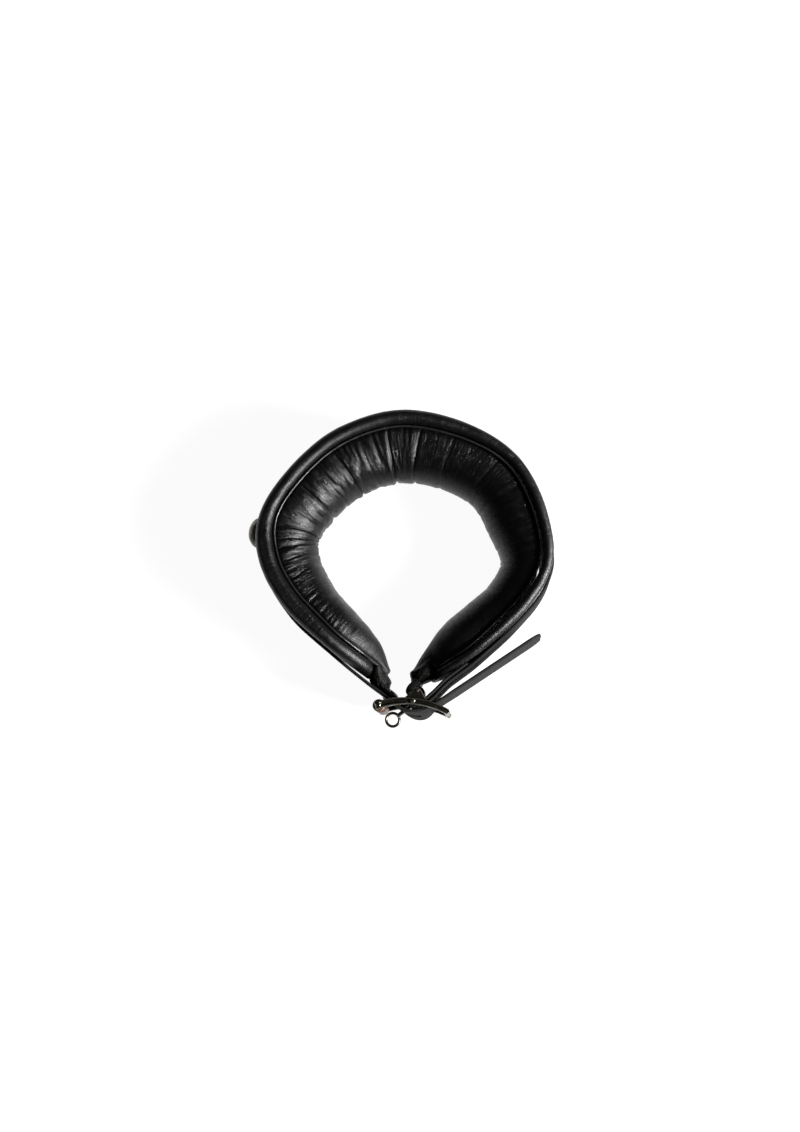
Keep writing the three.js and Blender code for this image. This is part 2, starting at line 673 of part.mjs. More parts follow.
const halfPin = RAIL_LIFT + LUG_THICKNESS / 2 + 0.4;
addPiece("tab_pin", upright(TAB_PIN, TAB_PIN_RADIUS, MID - halfPin, MID + halfPin, 8), NICKEL);

const rollerTube = cut(
  upright(rollerPlace, ROLLER_RADIUS, MID - ROLLER_LENGTH / 2, MID + ROLLER_LENGTH / 2, 18),
  upright(rollerPlace, ROLLER_BORE, 0, COLLAR_HEIGHT, 12),
);
addPiece("roller", rollerTube, BRONZE);

// ---- Locking tongue with its eye ----

function lockTongue() {
  const along = new THREE.Vector2().subVectors(BLADE_END, BAR);
  const blade = new THREE.BoxGeometry(along.length(), TONGUE_THICKNESS, TONGUE_WIDTH);
  blade.rotateZ(along.angle());
  blade.translate((BAR.x + BLADE_END.x) / 2, (BAR.y + BLADE_END.y) / 2, MID);
  const hub = upright(BAR, HUB_RADIUS, MID - TONGUE_WIDTH / 2, MID + TONGUE_WIDTH / 2, 16);
  const eye = new THREE.TorusGeometry(EYE_RADIUS, EYE_WIRE, 8, 20);
  eye.translate(EYE.x, EYE.y, MID);
  const bore = upright(BAR, HUB_BORE, 0, COLLAR_HEIGHT, 12);
  return cut(join(blade, hub, eye), bore);
}

addPiece("lock_tongue", lockTongue(), NICKEL);

// ---- Origin: middle of the bounding box, on the surface that the collar stands on ----

const extent = new THREE.Box3().setFromObject(collar);
const centre = extent.getCenter(new THREE.Vector3());
collar.position.set(-centre.x, -centre.y, -extent.min.z);

export default collar;
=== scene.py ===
import math

import bmesh
import bpy
import numpy as np
from mathutils import Matrix, Vector


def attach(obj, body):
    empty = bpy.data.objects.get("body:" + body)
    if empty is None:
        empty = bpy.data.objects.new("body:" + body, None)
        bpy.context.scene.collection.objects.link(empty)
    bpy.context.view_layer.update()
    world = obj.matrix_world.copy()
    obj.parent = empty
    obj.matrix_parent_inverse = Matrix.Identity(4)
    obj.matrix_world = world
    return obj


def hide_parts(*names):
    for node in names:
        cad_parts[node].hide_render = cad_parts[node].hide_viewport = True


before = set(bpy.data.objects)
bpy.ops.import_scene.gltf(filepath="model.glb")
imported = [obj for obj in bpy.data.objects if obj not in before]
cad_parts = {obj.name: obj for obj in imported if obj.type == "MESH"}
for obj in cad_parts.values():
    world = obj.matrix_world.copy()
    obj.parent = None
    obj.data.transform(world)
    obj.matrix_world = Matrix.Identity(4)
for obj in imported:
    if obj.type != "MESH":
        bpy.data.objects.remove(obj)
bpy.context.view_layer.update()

# Lengths are in millimetres in the collar's own plan until to_row() turns them into the row frame's metres.
MM = 0.001
SHIFT = np.array([0.46165, 3.64114, 0.0])
HEIGHT = 64.0
MID = HEIGHT / 2


def to_row(points):
    return (np.asarray(points, float) + SHIFT) * MM


def full_turn(count):
    """Angles of one full turn, without the doubled end."""
    return np.linspace(0, 2 * math.pi, count, endpoint=False)


def unit(vectors):
    return vectors / np.linalg.norm(vectors, axis=-1, keepdims=True)


def flat(vectors):
    """Directions of the plan with a height of zero."""
    return np.column_stack([vectors, np.zeros(len(vectors))])


def placed(name, data):
    """A new object in the scene."""
    obj = bpy.data.objects.new(name, data)
    bpy.context.collection.objects.link(obj)
    return obj


# ---- Repeatable noise ----

def lattice(ix, iy, seed):
    mixed = (ix * 374761393 + iy * 668265263 + seed * 974634777) & 0xFFFFFFFF
    mixed = ((mixed ^ (mixed >> 13)) * 1274126177) & 0xFFFFFFFF
    return ((mixed ^ (mixed >> 16)) & 0xFFFF) / 32767.5 - 1.0


def noise(x, y, seed=0):
    """Smooth value noise from -1 to 1, with one feature per unit."""
    x, y = np.broadcast_arrays(np.asarray(x, float), np.asarray(y, float))
    ix, iy = np.floor(x).astype(np.int64), np.floor(y).astype(np.int64)
    fx, fy = x - ix, y - iy
    fx, fy = fx**3 * (fx * (6 * fx - 15) + 10), fy**3 * (fy * (6 * fy - 15) + 10)
    low = lattice(ix, iy, seed) * (1 - fx) + lattice(ix + 1, iy, seed) * fx
    high = lattice(ix, iy + 1, seed) * (1 - fx) + lattice(ix + 1, iy + 1, seed) * fx
    return low * (1 - fy) + high * fy


def smoothstep(low, high, x):
    t = np.clip((np.asarray(x, float) - low) / (high - low), 0, 1)
    return t * t * (3 - 2 * t)


# ---- Paths seen from above ----

class Plan:
    """A smooth path through places seen from above, measured by arc length. Outward is to its left."""

    def __init__(self, places, samples=90):
        p = np.array(places, float)
        p = np.vstack([2 * p[0] - p[1], p, 2 * p[-1] - p[-2]])
        t = np.linspace(0, 1, samples, endpoint=False)[:, None]
        parts = []
        for a, b, c, d in zip(p, p[1:], p[2:], p[3:]):
            before, span, after = (np.linalg.norm(q - r) ** 0.5 for q, r in ((b, a), (c, b), (d, c)))
            m1 = ((b - a) / before - (c - a) / (before + span) + (c - b) / span) * span
            m2 = ((c - b) / span - (d - b) / (span + after) + (d - c) / after) * span
            parts.append(b + m1 * t + (3 * (c - b) - 2 * m1 - m2) * t**2 + (2 * (b - c) + m1 + m2) * t**3)
        self.xy = np.vstack(parts + [p[-2:-1]])
        steps = np.linalg.norm(np.diff(self.xy, axis=0), axis=1)
        self.s = np.concatenate([[0], np.cumsum(steps)])
        self.length = self.s[-1]
        self.tangent = np.gradient(self.xy, self.s, axis=0)

    def at(self, distance, offset=0.0):
        """Places, directions along and directions outward; the path runs on straight past its ends."""
        d = np.asarray(distance, float)
        inside = np.clip(d, 0, self.length)
        along = unit(np.stack([np.interp(inside, self.s, self.tangent[:, k]) for k in (0, 1)], -1))
        out = np.stack([-along[..., 1], along[..., 0]], -1)
        xy = np.stack([np.interp(inside, self.s, self.xy[:, k]) for k in (0, 1)], -1)
        xy = xy + along * (d - inside)[..., None] + out * np.broadcast_to(offset, d.shape)[..., None]
        return xy, along, out

    def nearest(self, place):
        return self.s[np.linalg.norm(self.xy - np.array(place), axis=1).argmin()]


BAND_PLAN = [
    [-19.2, -68.4], [-44, -49.5], [-68, -27], [-82.5, -1.5], [-84.5, 24], [-71, 50], [-40, 79],
    [0, 92], [40, 84], [72, 63], [89, 30], [92.5, -2], [79.4, -26.8], [47.6, -55.6], [20.2, -71.2],
]
band = Plan(BAND_PLAN)

ROLL_RADIUS = 4.8
ROLL_LIFT = MID - ROLL_RADIUS
END_ROUNDING = 38.0
WELT_GAP = 1.2


def ellipse_rise(t):
    return np.sqrt(np.clip(1 - (1 - np.clip(t, 0, 1)) ** 2, 0, 1))


def from_end(s):
    return np.minimum(s, band.length - s)


def rim_rise(s):
    return ROLL_LIFT * ellipse_rise(from_end(s) / END_ROUNDING)


def roll_radius(s):
    """The roll is fuller on the left leg and slimmer on the right side, slimmest at its right end."""
    left = 0.9 * smoothstep(25, 55, s) * (1 - smoothstep(95, 140, s))
    right = 1.3 * smoothstep(255, 330, s) + 1.1 * smoothstep(425, 470, s)
    return ROLL_RADIUS + left - right


def roll_middle(s):
    """Offset of the roll's middle line from the band's: the roll's outer side stays where it is."""
    return ROLL_RADIUS - roll_radius(s)


def beside_roll(s, gap=WELT_GAP):
    """Offset of a line that runs inside the roll at a gap from it."""
    return ROLL_RADIUS - 2 * roll_radius(s) - gap


# ---- Mesh building ----

def make_object(name, verts, faces, uv):
    """A mesh object from places in metres; uv holds one pair per face corner, in metres."""
    mesh = bpy.data.meshes.new(name)
    mesh.from_pydata(np.asarray(verts).tolist(), [], faces)
    layer = mesh.uv_layers.new(name="flow")
    layer.data.foreach_set("uv", np.asarray(uv, np.float32).ravel())
    work = bmesh.new()
    work.from_mesh(mesh)
    bmesh.ops.recalc_face_normals(work, faces=work.faces)
    work.to_mesh(mesh)
    work.free()
    mesh.polygons.foreach_set("use_smooth", [True] * len(mesh.polygons))
    return placed(name, mesh)


def ring_faces(n, m, loop):
    """Faces through n rings of m places, with a face over each end unless the rings form a loop."""
    last = n if loop else n - 1
    i, j = (a.ravel() for a in np.meshgrid(np.arange(last), np.arange(m), indexing="ij"))
    i2, j2 = (i + 1) % n, (j + 1) % m
    faces = np.stack([i * m + j, i * m + j2, i2 * m + j2, i2 * m + j], 1).tolist()
    if not loop:
        faces += [list(range(m)), list(range((n - 1) * m, n * m))]
    return faces, i, j


def skin(rings, loop=False):
    """Vertices, faces and uv of a closed tube through rings of shape (n, m, 3), in the plan's millimetres."""
    faces, i, j = ring_faces(*rings.shape[:2], loop)
    centre = rings.mean(1)
    run = np.concatenate([[0], np.cumsum(np.linalg.norm(np.diff(centre, axis=0), axis=1))])
    if loop:
        run = np.append(run, run[-1] + np.linalg.norm(centre[0] - centre[-1]))
    middle = rings[len(rings) // 2]
    around = np.concatenate([[0], np.cumsum(np.linalg.norm(np.roll(middle, -1, 0) - middle, axis=1))])
    uv = np.stack([
        np.stack([run[i], run[i], run[i + 1], run[i + 1]], 1),
        np.stack([around[j], around[j + 1], around[j + 1], around[j]], 1),
    ], -1) * MM
    uv = uv.reshape(-1, 2)
    if not loop:
        ends = np.vstack([middle[:, :2] - middle[0, :2]] * 2) * MM
        uv = np.vstack([uv, ends])
    return to_row(rings.reshape(-1, 3)), faces, uv


def tube(name, rings, loop=False):
    return make_object(name, *skin(rings, loop))


def merged(name, parts):
    """One object from several (verts, faces, uv) shells."""
    verts, faces, uvs, count = [], [], [], 0
    for v, f, uv in parts:
        faces += [[k + count for k in face] for face in f]
        verts.append(v)
        uvs.append(uv)
        count += len(v)
    return make_object(name, np.vstack(verts), faces, np.vstack(uvs))


def strap_outline(thickness, half_height, crease, inset=1.9):
    """Section of a strap standing on edge: rounded edges, and a line pressed in at an inset from each."""
    t, h = thickness / 2, half_height
    r = min(t * 0.95, h * 0.4)
    line = h - inset
    side = [(t, 0.0), (t, h * 0.35), (t, h * 0.6), (t, line - 1.3), (t, line - 0.45), (t - crease, line)]
    side = [(a, b) for a, b in side + [(t, line + 0.45)] if b < h - r - 0.05]
    quarter = np.linspace(0, math.pi / 2, 5)
    corner = [(t - r + r * math.cos(q), h - r + r * math.sin(q)) for q in quarter]
    top_right = side + corner
    top_left = [(-a, b) for a, b in reversed(top_right)]
    bottom_left = [(-a, -b) for a, b in top_right[1:]]
    bottom_right = [(a, -b) for a, b in reversed(top_right[1:])]
    return np.array(top_right + top_left + bottom_left + bottom_right)


def strap_rings(path, distances, outline, share=1.0, lean=0.0):
    """Rings of a strap on edge along a path; its top leans outward by lean per unit of height."""
    xy, _, out = path.at(distances)
    share, lean = (np.broadcast_to(v, len(distances))[:, None] for v in (share, lean))
    rings = np.zeros((len(distances), len(outline), 3))
    height = outline[None, :, 1] * share
    rings[..., :2] = xy[:, None] + out[:, None] * (outline[None, :, 0] + lean * height)[..., None]
    rings[..., 2] = MID + height
    return rings


def close_ends(rings, depth=0.6, steps=3):
    """Rounds both ends of a tube: extra rings that shrink towards each end's middle."""
    ends = []
    for end, inner in ((0, 1), (-1, -2)):
        centre = rings[end].mean(0)
        spread = rings[end] - centre
        size = np.linalg.norm(spread, axis=1, keepdims=True)
        away = centre - rings[inner].mean(0)
        away /= np.linalg.norm(away)
        extra = []
        for k in range(1, steps + 1):
            q = (math.pi / 2) * k / steps
            shrink = np.clip(1 - depth * (1 - math.cos(q)) / np.maximum(size, 1e-6), 0, 1)
            extra.append(centre + spread * shrink + away * depth * math.sin(q))
        ends.append(np.array(extra))
    return np.concatenate([ends[0][::-1], rings, ends[1]])


def frame_at(xy, out, height=MID):
    """Matrix whose +Z points outward at a place seen from above."""
    z = Vector((out[0], out[1], 0)).normalized()
    y = Vector((0, 0, 1))
    x = y.cross(z)
    place = to_row([xy[0], xy[1], height])
    return Matrix.Translation(Vector(place)) @ Matrix((x, y, z)).transposed().to_4x4()


def lathe_shell(profile, matrix, sides=48):
    """A turned shell about the matrix's +Z from (radius, height) pairs in millimetres."""
    profile = np.array(profile, float)
    angles = full_turn(sides)
    r, h = profile[:, 0], profile[:, 1]
    verts = np.stack([
        r[:, None] * np.cos(angles), r[:, None] * np.sin(angles), np.repeat(h[:, None], sides, 1),
    ], -1).reshape(-1, 3) * MM
    m = np.array(matrix)
    verts = verts @ m[:3, :3].T + m[:3, 3]
    n = len(profile)
    closed = np.allclose(profile[0], profile[-1])
    if closed:
        verts, n = verts[:-sides], n - 1
    faces = ring_faces(n, sides, closed)[0]
    return verts, faces, np.zeros((sum(len(f) for f in faces), 2))


def rounded(profile, radius=0.25, steps=3):
    """Rounds the corners of a (radius, height) profile."""
    p = np.array(profile, float)
    out = [p[0]]
    for a, b, c in zip(p, p[1:], p[2:]):
        cut = min(radius, np.linalg.norm(a - b) * 0.45, np.linalg.norm(c - b) * 0.45)
        start, end = b + unit(a - b) * cut, b + unit(c - b) * cut
        for k in range(steps + 1):
            t = k / steps
            out.append((1 - t) ** 2 * start + 2 * t * (1 - t) * b + t**2 * end)
    out.append(p[-1])
    return out


def stitch_shells(places, along, normal, length, radius):
    """Short bent threads, one per place: each dips into the leather at both ends."""
    t = np.linspace(-1, 1, 5)
    angles = full_turn(6)
    along = unit(along)
    side = unit(np.cross(normal, along))
    up = np.cross(along, side)
    rise = radius * (0.6 - 1.7 * t**4)
    width = radius * (1 - 0.45 * t**4)
    centre = places[:, None] + along[:, None] * (t * length / 2)[:, None] + up[:, None] * rise[:, None]
    ring = (
        side[:, None, None] * (width[:, None] * np.cos(angles))[None, :, :, None]
        + up[:, None, None] * (width[:, None] * np.sin(angles))[None, :, :, None]
    )
    rings = centre[:, :, None] + ring
    return [skin(r) for r in rings]


# ---- Materials ----

def set_inputs(made, values):
    for key, value in values.items():
        made.inputs[key].default_value = value


def build(name, roughness, color, metallic=0.0):
    """A material with its node tree and its shader."""
    material = bpy.data.materials.new(name)
    material.use_nodes = True
    tree = material.node_tree
    shader = tree.nodes["Principled BSDF"]
    set_inputs(shader, {"Base Color": (*color, 1), "Roughness": roughness, "Metallic": metallic})
    return material, tree, shader


def node(tree, kind, **values):
    """A new node; each value goes to the input of that name, or else to the node's own setting."""
    made = tree.nodes.new(kind)
    for key, value in values.items():
        if key in made.inputs:
            made.inputs[key].default_value = value
        else:
            setattr(made, key, value)
    return made


def ramp(tree, source, stops):
    """Colour through a ramp of (place, grey or colour) stops."""
    made = tree.nodes.new("ShaderNodeValToRGB")
    made.color_ramp.interpolation = "EASE"
    elements = made.color_ramp.elements
    for element, (place, _) in zip(list(elements), stops):
        element.position = place
    while len(elements) < len(stops):
        elements.new(stops[len(elements)][0])
    for element, (place, value) in zip(elements, stops):
        element.position = place
        tone = value if isinstance(value, tuple) else (value, value, value)
        element.color = (*tone, 1)
    tree.links.new(source, made.inputs["Fac"])
    return made.outputs["Color"]


def object_place(tree):
    return tree.nodes.new("ShaderNodeTexCoord").outputs["Object"]


def mapped(tree, coordinates, scale):
    mapping = node(tree, "ShaderNodeMapping", Scale=scale)
    tree.links.new(coordinates, mapping.inputs["Vector"])
    return mapping.outputs["Vector"]


def noise_map(tree, place, **values):
    made = node(tree, "ShaderNodeTexNoise", **values)
    tree.links.new(place, made.inputs["Vector"])
    return made.outputs


def bump(tree, height, strength, distance, below=None):
    """Normals of a relief, laid over the normals below if there are any."""
    made = node(tree, "ShaderNodeBump", Strength=strength, Distance=distance)
    tree.links.new(height, made.inputs["Height"])
    if below:
        tree.links.new(below, made.inputs["Normal"])
    return made.outputs["Normal"]


def leather(name, color, specular, roughness, grain=1.0, fine=1500, creases=0.0):
    """Dyed leather: pebble grain, fine creases, cloudy tint and a soft gloss. Scales are per metre."""
    material, tree, shader = build(name, roughness, color)
    link = tree.links.new
    place = object_place(tree)
    pores = node(tree, "ShaderNodeTexVoronoi", feature="DISTANCE_TO_EDGE", Scale=fine)
    warp = noise_map(tree, place, Scale=fine * 0.4, Detail=3.0)
    bend = node(tree, "ShaderNodeMix", data_type="VECTOR")
    bend.inputs[0].default_value = 0.0009
    link(place, bend.inputs[4])
    link(warp["Color"], bend.inputs[5])
    link(bend.outputs[1], pores.inputs["Vector"])
    cells = ramp(tree, pores.outputs["Distance"], [(0.0, 0.0), (0.12, 0.75), (0.35, 1.0)])
    rough = noise_map(tree, place, Scale=fine * 0.11, Detail=6.0, Roughness=0.62)["Fac"]
    cloud = noise_map(tree, place, Scale=34.0, Detail=4.0, Roughness=0.55)["Fac"]
    faded, dark = tuple(c * 1.55 for c in color), tuple(c * 0.72 for c in color)
    tint = ramp(tree, cloud, [(0.3, dark), (0.52, color), (0.74, faded)])
    shade = node(tree, "ShaderNodeMix", data_type="RGBA", blend_type="MULTIPLY")
    shade.inputs[0].default_value = 0.45
    link(tint, shade.inputs[6])
    link(cells, shade.inputs[7])
    link(shade.outputs[2], shader.inputs["Base Color"])
    gloss = ramp(tree, rough, [(0.25, roughness - 0.09), (0.5, roughness), (0.78, roughness + 0.16)])
    link(gloss, shader.inputs["Roughness"])
    normals = bump(tree, cells, 0.28 * grain, 0.00022)
    normals = bump(tree, rough, 0.35 * grain, 0.0005, normals)
    if creases:
        flow = tree.nodes.new("ShaderNodeUVMap")
        flow.uv_map = "flow"
        drawn = mapped(tree, flow.outputs["UV"], (900, 90, 1))
        lines = noise_map(tree, drawn, Scale=1.0, Detail=3.0, Roughness=0.6, Distortion=0.6)
        crease = ramp(tree, lines["Fac"], [(0.32, 0.0), (0.48, 0.8), (0.7, 1.0)])
        normals = bump(tree, crease, creases, 0.0005, normals)
    link(normals, shader.inputs["Normal"])
    shader.inputs["Specular IOR Level"].default_value = specular
    return material


def dull_towards(material, start, full, extra):
    """Takes the gloss off between two row-frame Y values: the collar's ends are handled most."""
    tree = material.node_tree
    roughness = tree.nodes["Principled BSDF"].inputs["Roughness"]
    gloss = roughness.links[0].from_socket
    split = tree.nodes.new("ShaderNodeSeparateXYZ")
    tree.links.new(object_place(tree), split.inputs[0])
    fade = tree.nodes.new("ShaderNodeMapRange")
    set_inputs(fade, {"From Min": start, "From Max": full, "To Min": 0.0, "To Max": extra})
    tree.links.new(split.outputs["Y"], fade.inputs["Value"])
    total = node(tree, "ShaderNodeMath", operation="ADD")
    tree.links.new(gloss, total.inputs[0])
    tree.links.new(fade.outputs["Result"], total.inputs[1])
    tree.links.new(total.outputs[0], roughness)


def metal(name, dark, light, roughness):
    """Plated metal gone dull: a brown-grey film, lighter on convex edges as rubbed plating and as a painted
    highlight, with fine scratches.
    """
    material, tree, shader = build(name, roughness, light, metallic=1.0)
    link = tree.links.new
    place = object_place(tree)
    film = noise_map(tree, place, Scale=210.0, Detail=7.0, Roughness=0.66)["Fac"]
    # convex edges are lighter: partly rubbed plating, partly a painted highlight along the edges
    edge = node(tree, "ShaderNodeNewGeometry")
    wear_and_edge_highlight = ramp(tree, edge.outputs["Pointiness"], [(0.50, 0.0), (0.55, 0.4), (0.62, 1.0)])
    mixed = node(tree, "ShaderNodeMath", operation="MULTIPLY_ADD")
    link(wear_and_edge_highlight, mixed.inputs[0])
    mixed.inputs[1].default_value = 0.75
    base = ramp(tree, film, [(0.3, 0.0), (0.72, 0.32)])
    link(base, mixed.inputs[2])
    tone = ramp(tree, mixed.outputs[0], [(0.1, dark), (0.75, light)])
    link(tone, shader.inputs["Base Color"])
    drawn = mapped(tree, place, (3500, 3500, 180))
    brushed = noise_map(tree, drawn, Scale=1.0, Detail=4.0, Roughness=0.7)["Fac"]
    gloss = ramp(tree, film, [(0.3, roughness + 0.14), (0.7, roughness - 0.06)])
    link(gloss, shader.inputs["Roughness"])
    normals = bump(tree, film, 0.15, 0.0004, bump(tree, brushed, 0.06, 0.0002))
    link(normals, shader.inputs["Normal"])
    return material


def textile(name, color, scale, strength=0.6):
    """Spun or laid fibres with a little sheen."""
    material, tree, shader = build(name, 0.85, color)
    link = tree.links.new
    place = object_place(tree)
    fibres = noise_map(tree, place, Scale=scale, Detail=6.0, Roughness=0.7)["Fac"]
    shaded, lit = tuple(c * 0.6 for c in color), tuple(c * 1.15 for c in color)
    tone = ramp(tree, fibres, [(0.3, shaded), (0.7, lit)])
    link(tone, shader.inputs["Base Color"])
    link(bump(tree, fibres, strength, 0.0005), shader.inputs["Normal"])
    shader.inputs["Sheen Weight"].default_value = 0.3
    return material


# dye colour, specular, roughness; the piping's colour is lighter as a painted highlight
rim_leather = leather("rim_leather", (0.0014, 0.0014, 0.0013), 0.24, 0.36, creases=0.28)
# the piping's lighter colour is a painted highlight along the seam line
welt_leather = leather("welt_leather", (0.008, 0.008, 0.0078), 0.45, 0.30, grain=0.7)
band_leather = leather("band_leather", (0.0030, 0.0030, 0.0029), 0.20, 0.42, grain=0.8, fine=1200)
lining_leather = leather("lining_leather", (0.0010, 0.0010, 0.0010), 0.22, 0.31, creases=0.3)
dull_towards(lining_leather, start=-0.034, full=-0.052, extra=0.2)
gather_leather = leather("gather_leather", (0.0036, 0.0036, 0.0033), 0.08, 0.46, creases=0.2)
belt_leather = leather("belt_leather", (0.0046, 0.0045, 0.0043), 0.10, 0.72, grain=1.5, fine=1000)
thread = textile("waxed_thread", (0.018, 0.017, 0.016), 2600, 0.5)
cord_fabric = textile("core_cord", (0.60, 0.53, 0.42), 900)
nickel = metal("antique_nickel", (0.034, 0.030, 0.023), (0.54, 0.51, 0.44), 0.28)
bronze = metal("antique_bronze", (0.022, 0.011, 0.007), (0.20, 0.12, 0.08), 0.42)


def dress(obj, material, slot, *nodes, body="collar"):
    """Gives a piece its material, its body and the CAD nodes that it stands for; the slot is not used."""
    obj.data.materials.clear()
    obj.data.materials.append(material)
    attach(obj, body)
    if nodes:
        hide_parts(*nodes)


def nickel_piece(name, shell, cad_name):
    dress(make_object(name, *shell), nickel, "nickel", cad_name)


# ---- Rolled rim: one roll all the way round, turning from the upper to the lower edge at each end ----

def rim_loop(offset_at, spacing, end_gap=0.0):
    """Places, outward directions and run of a closed line: along the upper edge and back along the lower."""
    s = np.linspace(0, 1, 2400)
    s = end_gap + (band.length - 2 * end_gap) * (0.5 - 0.5 * np.cos(math.pi * s))
    rise = ROLL_LIFT * ellipse_rise((from_end(s) - end_gap) / (END_ROUNDING - end_gap))
    xy, _, out = band.at(s, offset_at(s))
    upper = np.column_stack([xy, MID + rise])
    lower = np.column_stack([xy, MID - rise])[::-1][1:-1]
    places = np.vstack([upper, lower])
    outs = np.vstack([out, out[::-1][1:-1]])
    band_places = np.concatenate([s, s[::-1][1:-1]])
    steps = np.linalg.norm(np.roll(places, -1, 0) - places, axis=1)
    run = np.concatenate([[0], np.cumsum(steps)])
    count = int(run[-1] / spacing)
    at = np.arange(count) * run[-1] / count
    table = np.column_stack([places, outs, band_places])
    table = np.vstack([table, table[:1]])
    picked = np.stack([np.interp(at, run, column) for column in table.T], 1)
    return picked[:, :3], picked[:, 3:5], picked[:, 5], at


def loop_frames(places, outs):
    """Directions across and up at each place of a closed line."""
    tangent = unit(np.roll(places, -1, 0) - np.roll(places, 1, 0))
    across = flat(outs)
    across = unit(across - tangent * (across * tangent).sum(1, keepdims=True))
    return across, np.cross(tangent, across)


def round_rings(places, across, up, radius, angle):
    """Round rings at places; radius is one number per place and angle."""
    rings = places[:, None] + across[:, None] * (radius * np.cos(angle))[..., None]
    return rings + up[:, None] * (radius * np.sin(angle))[..., None]


places, outs, band_places, run = rim_loop(roll_middle, 0.75)
across, up = loop_frames(places, outs)
angle = full_turn(30)
turn = np.cos(angle)[None, :]
along_roll, round_roll = run[:, None], angle[None, :] * 2.2
wobble = noise(along_roll / 17, round_roll * 0.3, 3) * 0.12
wobble += noise(along_roll / 6, round_roll * 0.5, 4) * 0.05
fold = noise(along_roll / 1.9 + 1.2 * noise(along_roll / 9, round_roll * 0.6, 6), round_roll * 0.55, 5)
patch = smoothstep(-0.15, 0.55, noise(along_roll / 26, round_roll * 0.3, 8))
crinkle = -np.clip(fold, 0, 1) ** 1.3 * (0.07 + 0.11 * patch)
# the flange towards the pad is drawn in by the seam
seam_pull = -0.35 * np.clip(-turn - 0.55, 0, 1) * (1 + 0.8 * noise(along_roll / 3.3, 0.5, 9))
radius = roll_radius(band_places)[:, None] + wobble - 0.06 + crinkle + seam_pull
rings = round_rings(places, across, up, radius, angle)
rings[..., 2] = np.clip(rings[..., 2], 0.0, HEIGHT)
rim_roll = tube("rim_roll", rings, loop=True)
dress(rim_roll, rim_leather, "rim_leather", "rim_cover_upper", "rim_cover_lower")

# the cord inside the roll, laid in three strands
CORD_TWISTS = 26
CORD_SHARE = 0.52
angle = full_turn(24)
twist = np.linspace(0, 2 * math.pi * CORD_TWISTS, len(run), endpoint=False)
strands = 1 + 0.06 * np.cos(3 * (angle[None, :] - twist[:, None]))
cord_radius = CORD_SHARE * roll_radius(band_places)[:, None] * strands
rim_cord = tube("rim_cord", round_rings(places, across, up, cord_radius, angle), loop=True)
dress(rim_cord, cord_fabric, "cord", "rim_cord_upper", "rim_cord_lower")

# ---- Piping between roll and pad ----

WELT_RADIUS = 0.66
places, outs, _, run = rim_loop(beside_roll, 0.8, end_gap=WELT_GAP)
across, up = loop_frames(places, outs)
angle = full_turn(12)
along = run[:, None]
uneven = 0.07 * noise(along / 1.7, angle[None, :], 21) + 0.05 * noise(along / 5, 0.0, 22)
piping = tube("seam_piping", round_rings(places, across, up, WELT_RADIUS + uneven, angle), loop=True)
dress(piping, welt_leather, "rim_leather", "welt_upper", "welt_lower")

# ---- Pad ----

PAD_GAP = 0.7
PAD_OVERRUN = 9.0
PAD_BACK = 3.2
# how far the pad stands in from the band, by distance from each end
REACH_LEFT = [[-9, 8.2], [-5, 12], [5, 18.4], [18, 22.4], [35, 25], [65, 28.5], [95, 30.6], [135, 31.8]]
REACH_BACK = 36.2
REACH_RIGHT = [
    [-9, 8.2], [-3, 12], [5, 16.5], [16, 22.6], [28, 25.6], [50, 26],
    [65, 25.2], [80, 25.6], [95, 27.2], [110, 28.8], [135, 33],
]
PAD_FULLNESS = 0.85
PAD_EDGE_DROP = 1.8
WELT_END = 6.0


def pad_reach(s):
    right = [(band.length - d, r) for d, r in reversed(REACH_RIGHT)]
    places, values = zip(*REACH_LEFT, (band.length / 2, REACH_BACK), *right)
    near = np.linspace(-5, 5, 11)
    weight = np.exp(-(near / 3.5) ** 2)
    spread = np.interp(np.asarray(s)[..., None] + near, places, values)
    return (spread * weight).sum(-1) / weight.sum()


def pad_half_height(s):
    d = from_end(s)
    at_welt = ROLL_LIFT * ellipse_rise(WELT_END / END_ROUNDING) - PAD_EDGE_DROP
    low = 8 + (at_welt - 8) * np.clip((d + PAD_OVERRUN) / (WELT_END + PAD_OVERRUN), 0, 1)
    return np.where(d > WELT_END, rim_rise(s) - PAD_EDGE_DROP, low)


def pad_surface(s, q, swell=1.0):
    """Places on the pad's inner side; q runs from 0 at the top seam to 1 at the bottom seam."""
    angle = math.pi * (0.5 - q)
    face = beside_roll(s, PAD_GAP)
    bulge = (pad_reach(s) + face) * swell
    a = face - bulge * np.clip(np.cos(angle), 0, 1) ** PAD_FULLNESS
    xy, _, _ = band.at(s, a)
    return np.concatenate([xy, (MID + pad_half_height(s) * np.sin(angle))[..., None]], -1)


def even_q(s, rows):
    """q values spaced evenly over the pad's girth at one distance, and that girth."""
    q = np.linspace(0, 1, 240)
    line = pad_surface(np.full(240, s), q)
    run = np.concatenate([[0], np.cumsum(np.linalg.norm(np.diff(line, axis=0), axis=1))])
    return np.interp(np.linspace(0, run[-1], rows), run, q), run[-1]


def blur(values, axis, sigma):
    """Gaussian blur of a grid along one axis."""
    reach = int(3 * sigma)
    kernel = np.exp(-0.5 * (np.arange(-reach, reach + 1) / sigma) ** 2)
    kernel /= kernel.sum()
    padding = [(reach, reach) if k == axis else (0, 0) for k in range(values.ndim)]
    padded = np.pad(values, padding, mode="edge")
    return np.apply_along_axis(np.convolve, axis, padded, kernel, "valid")


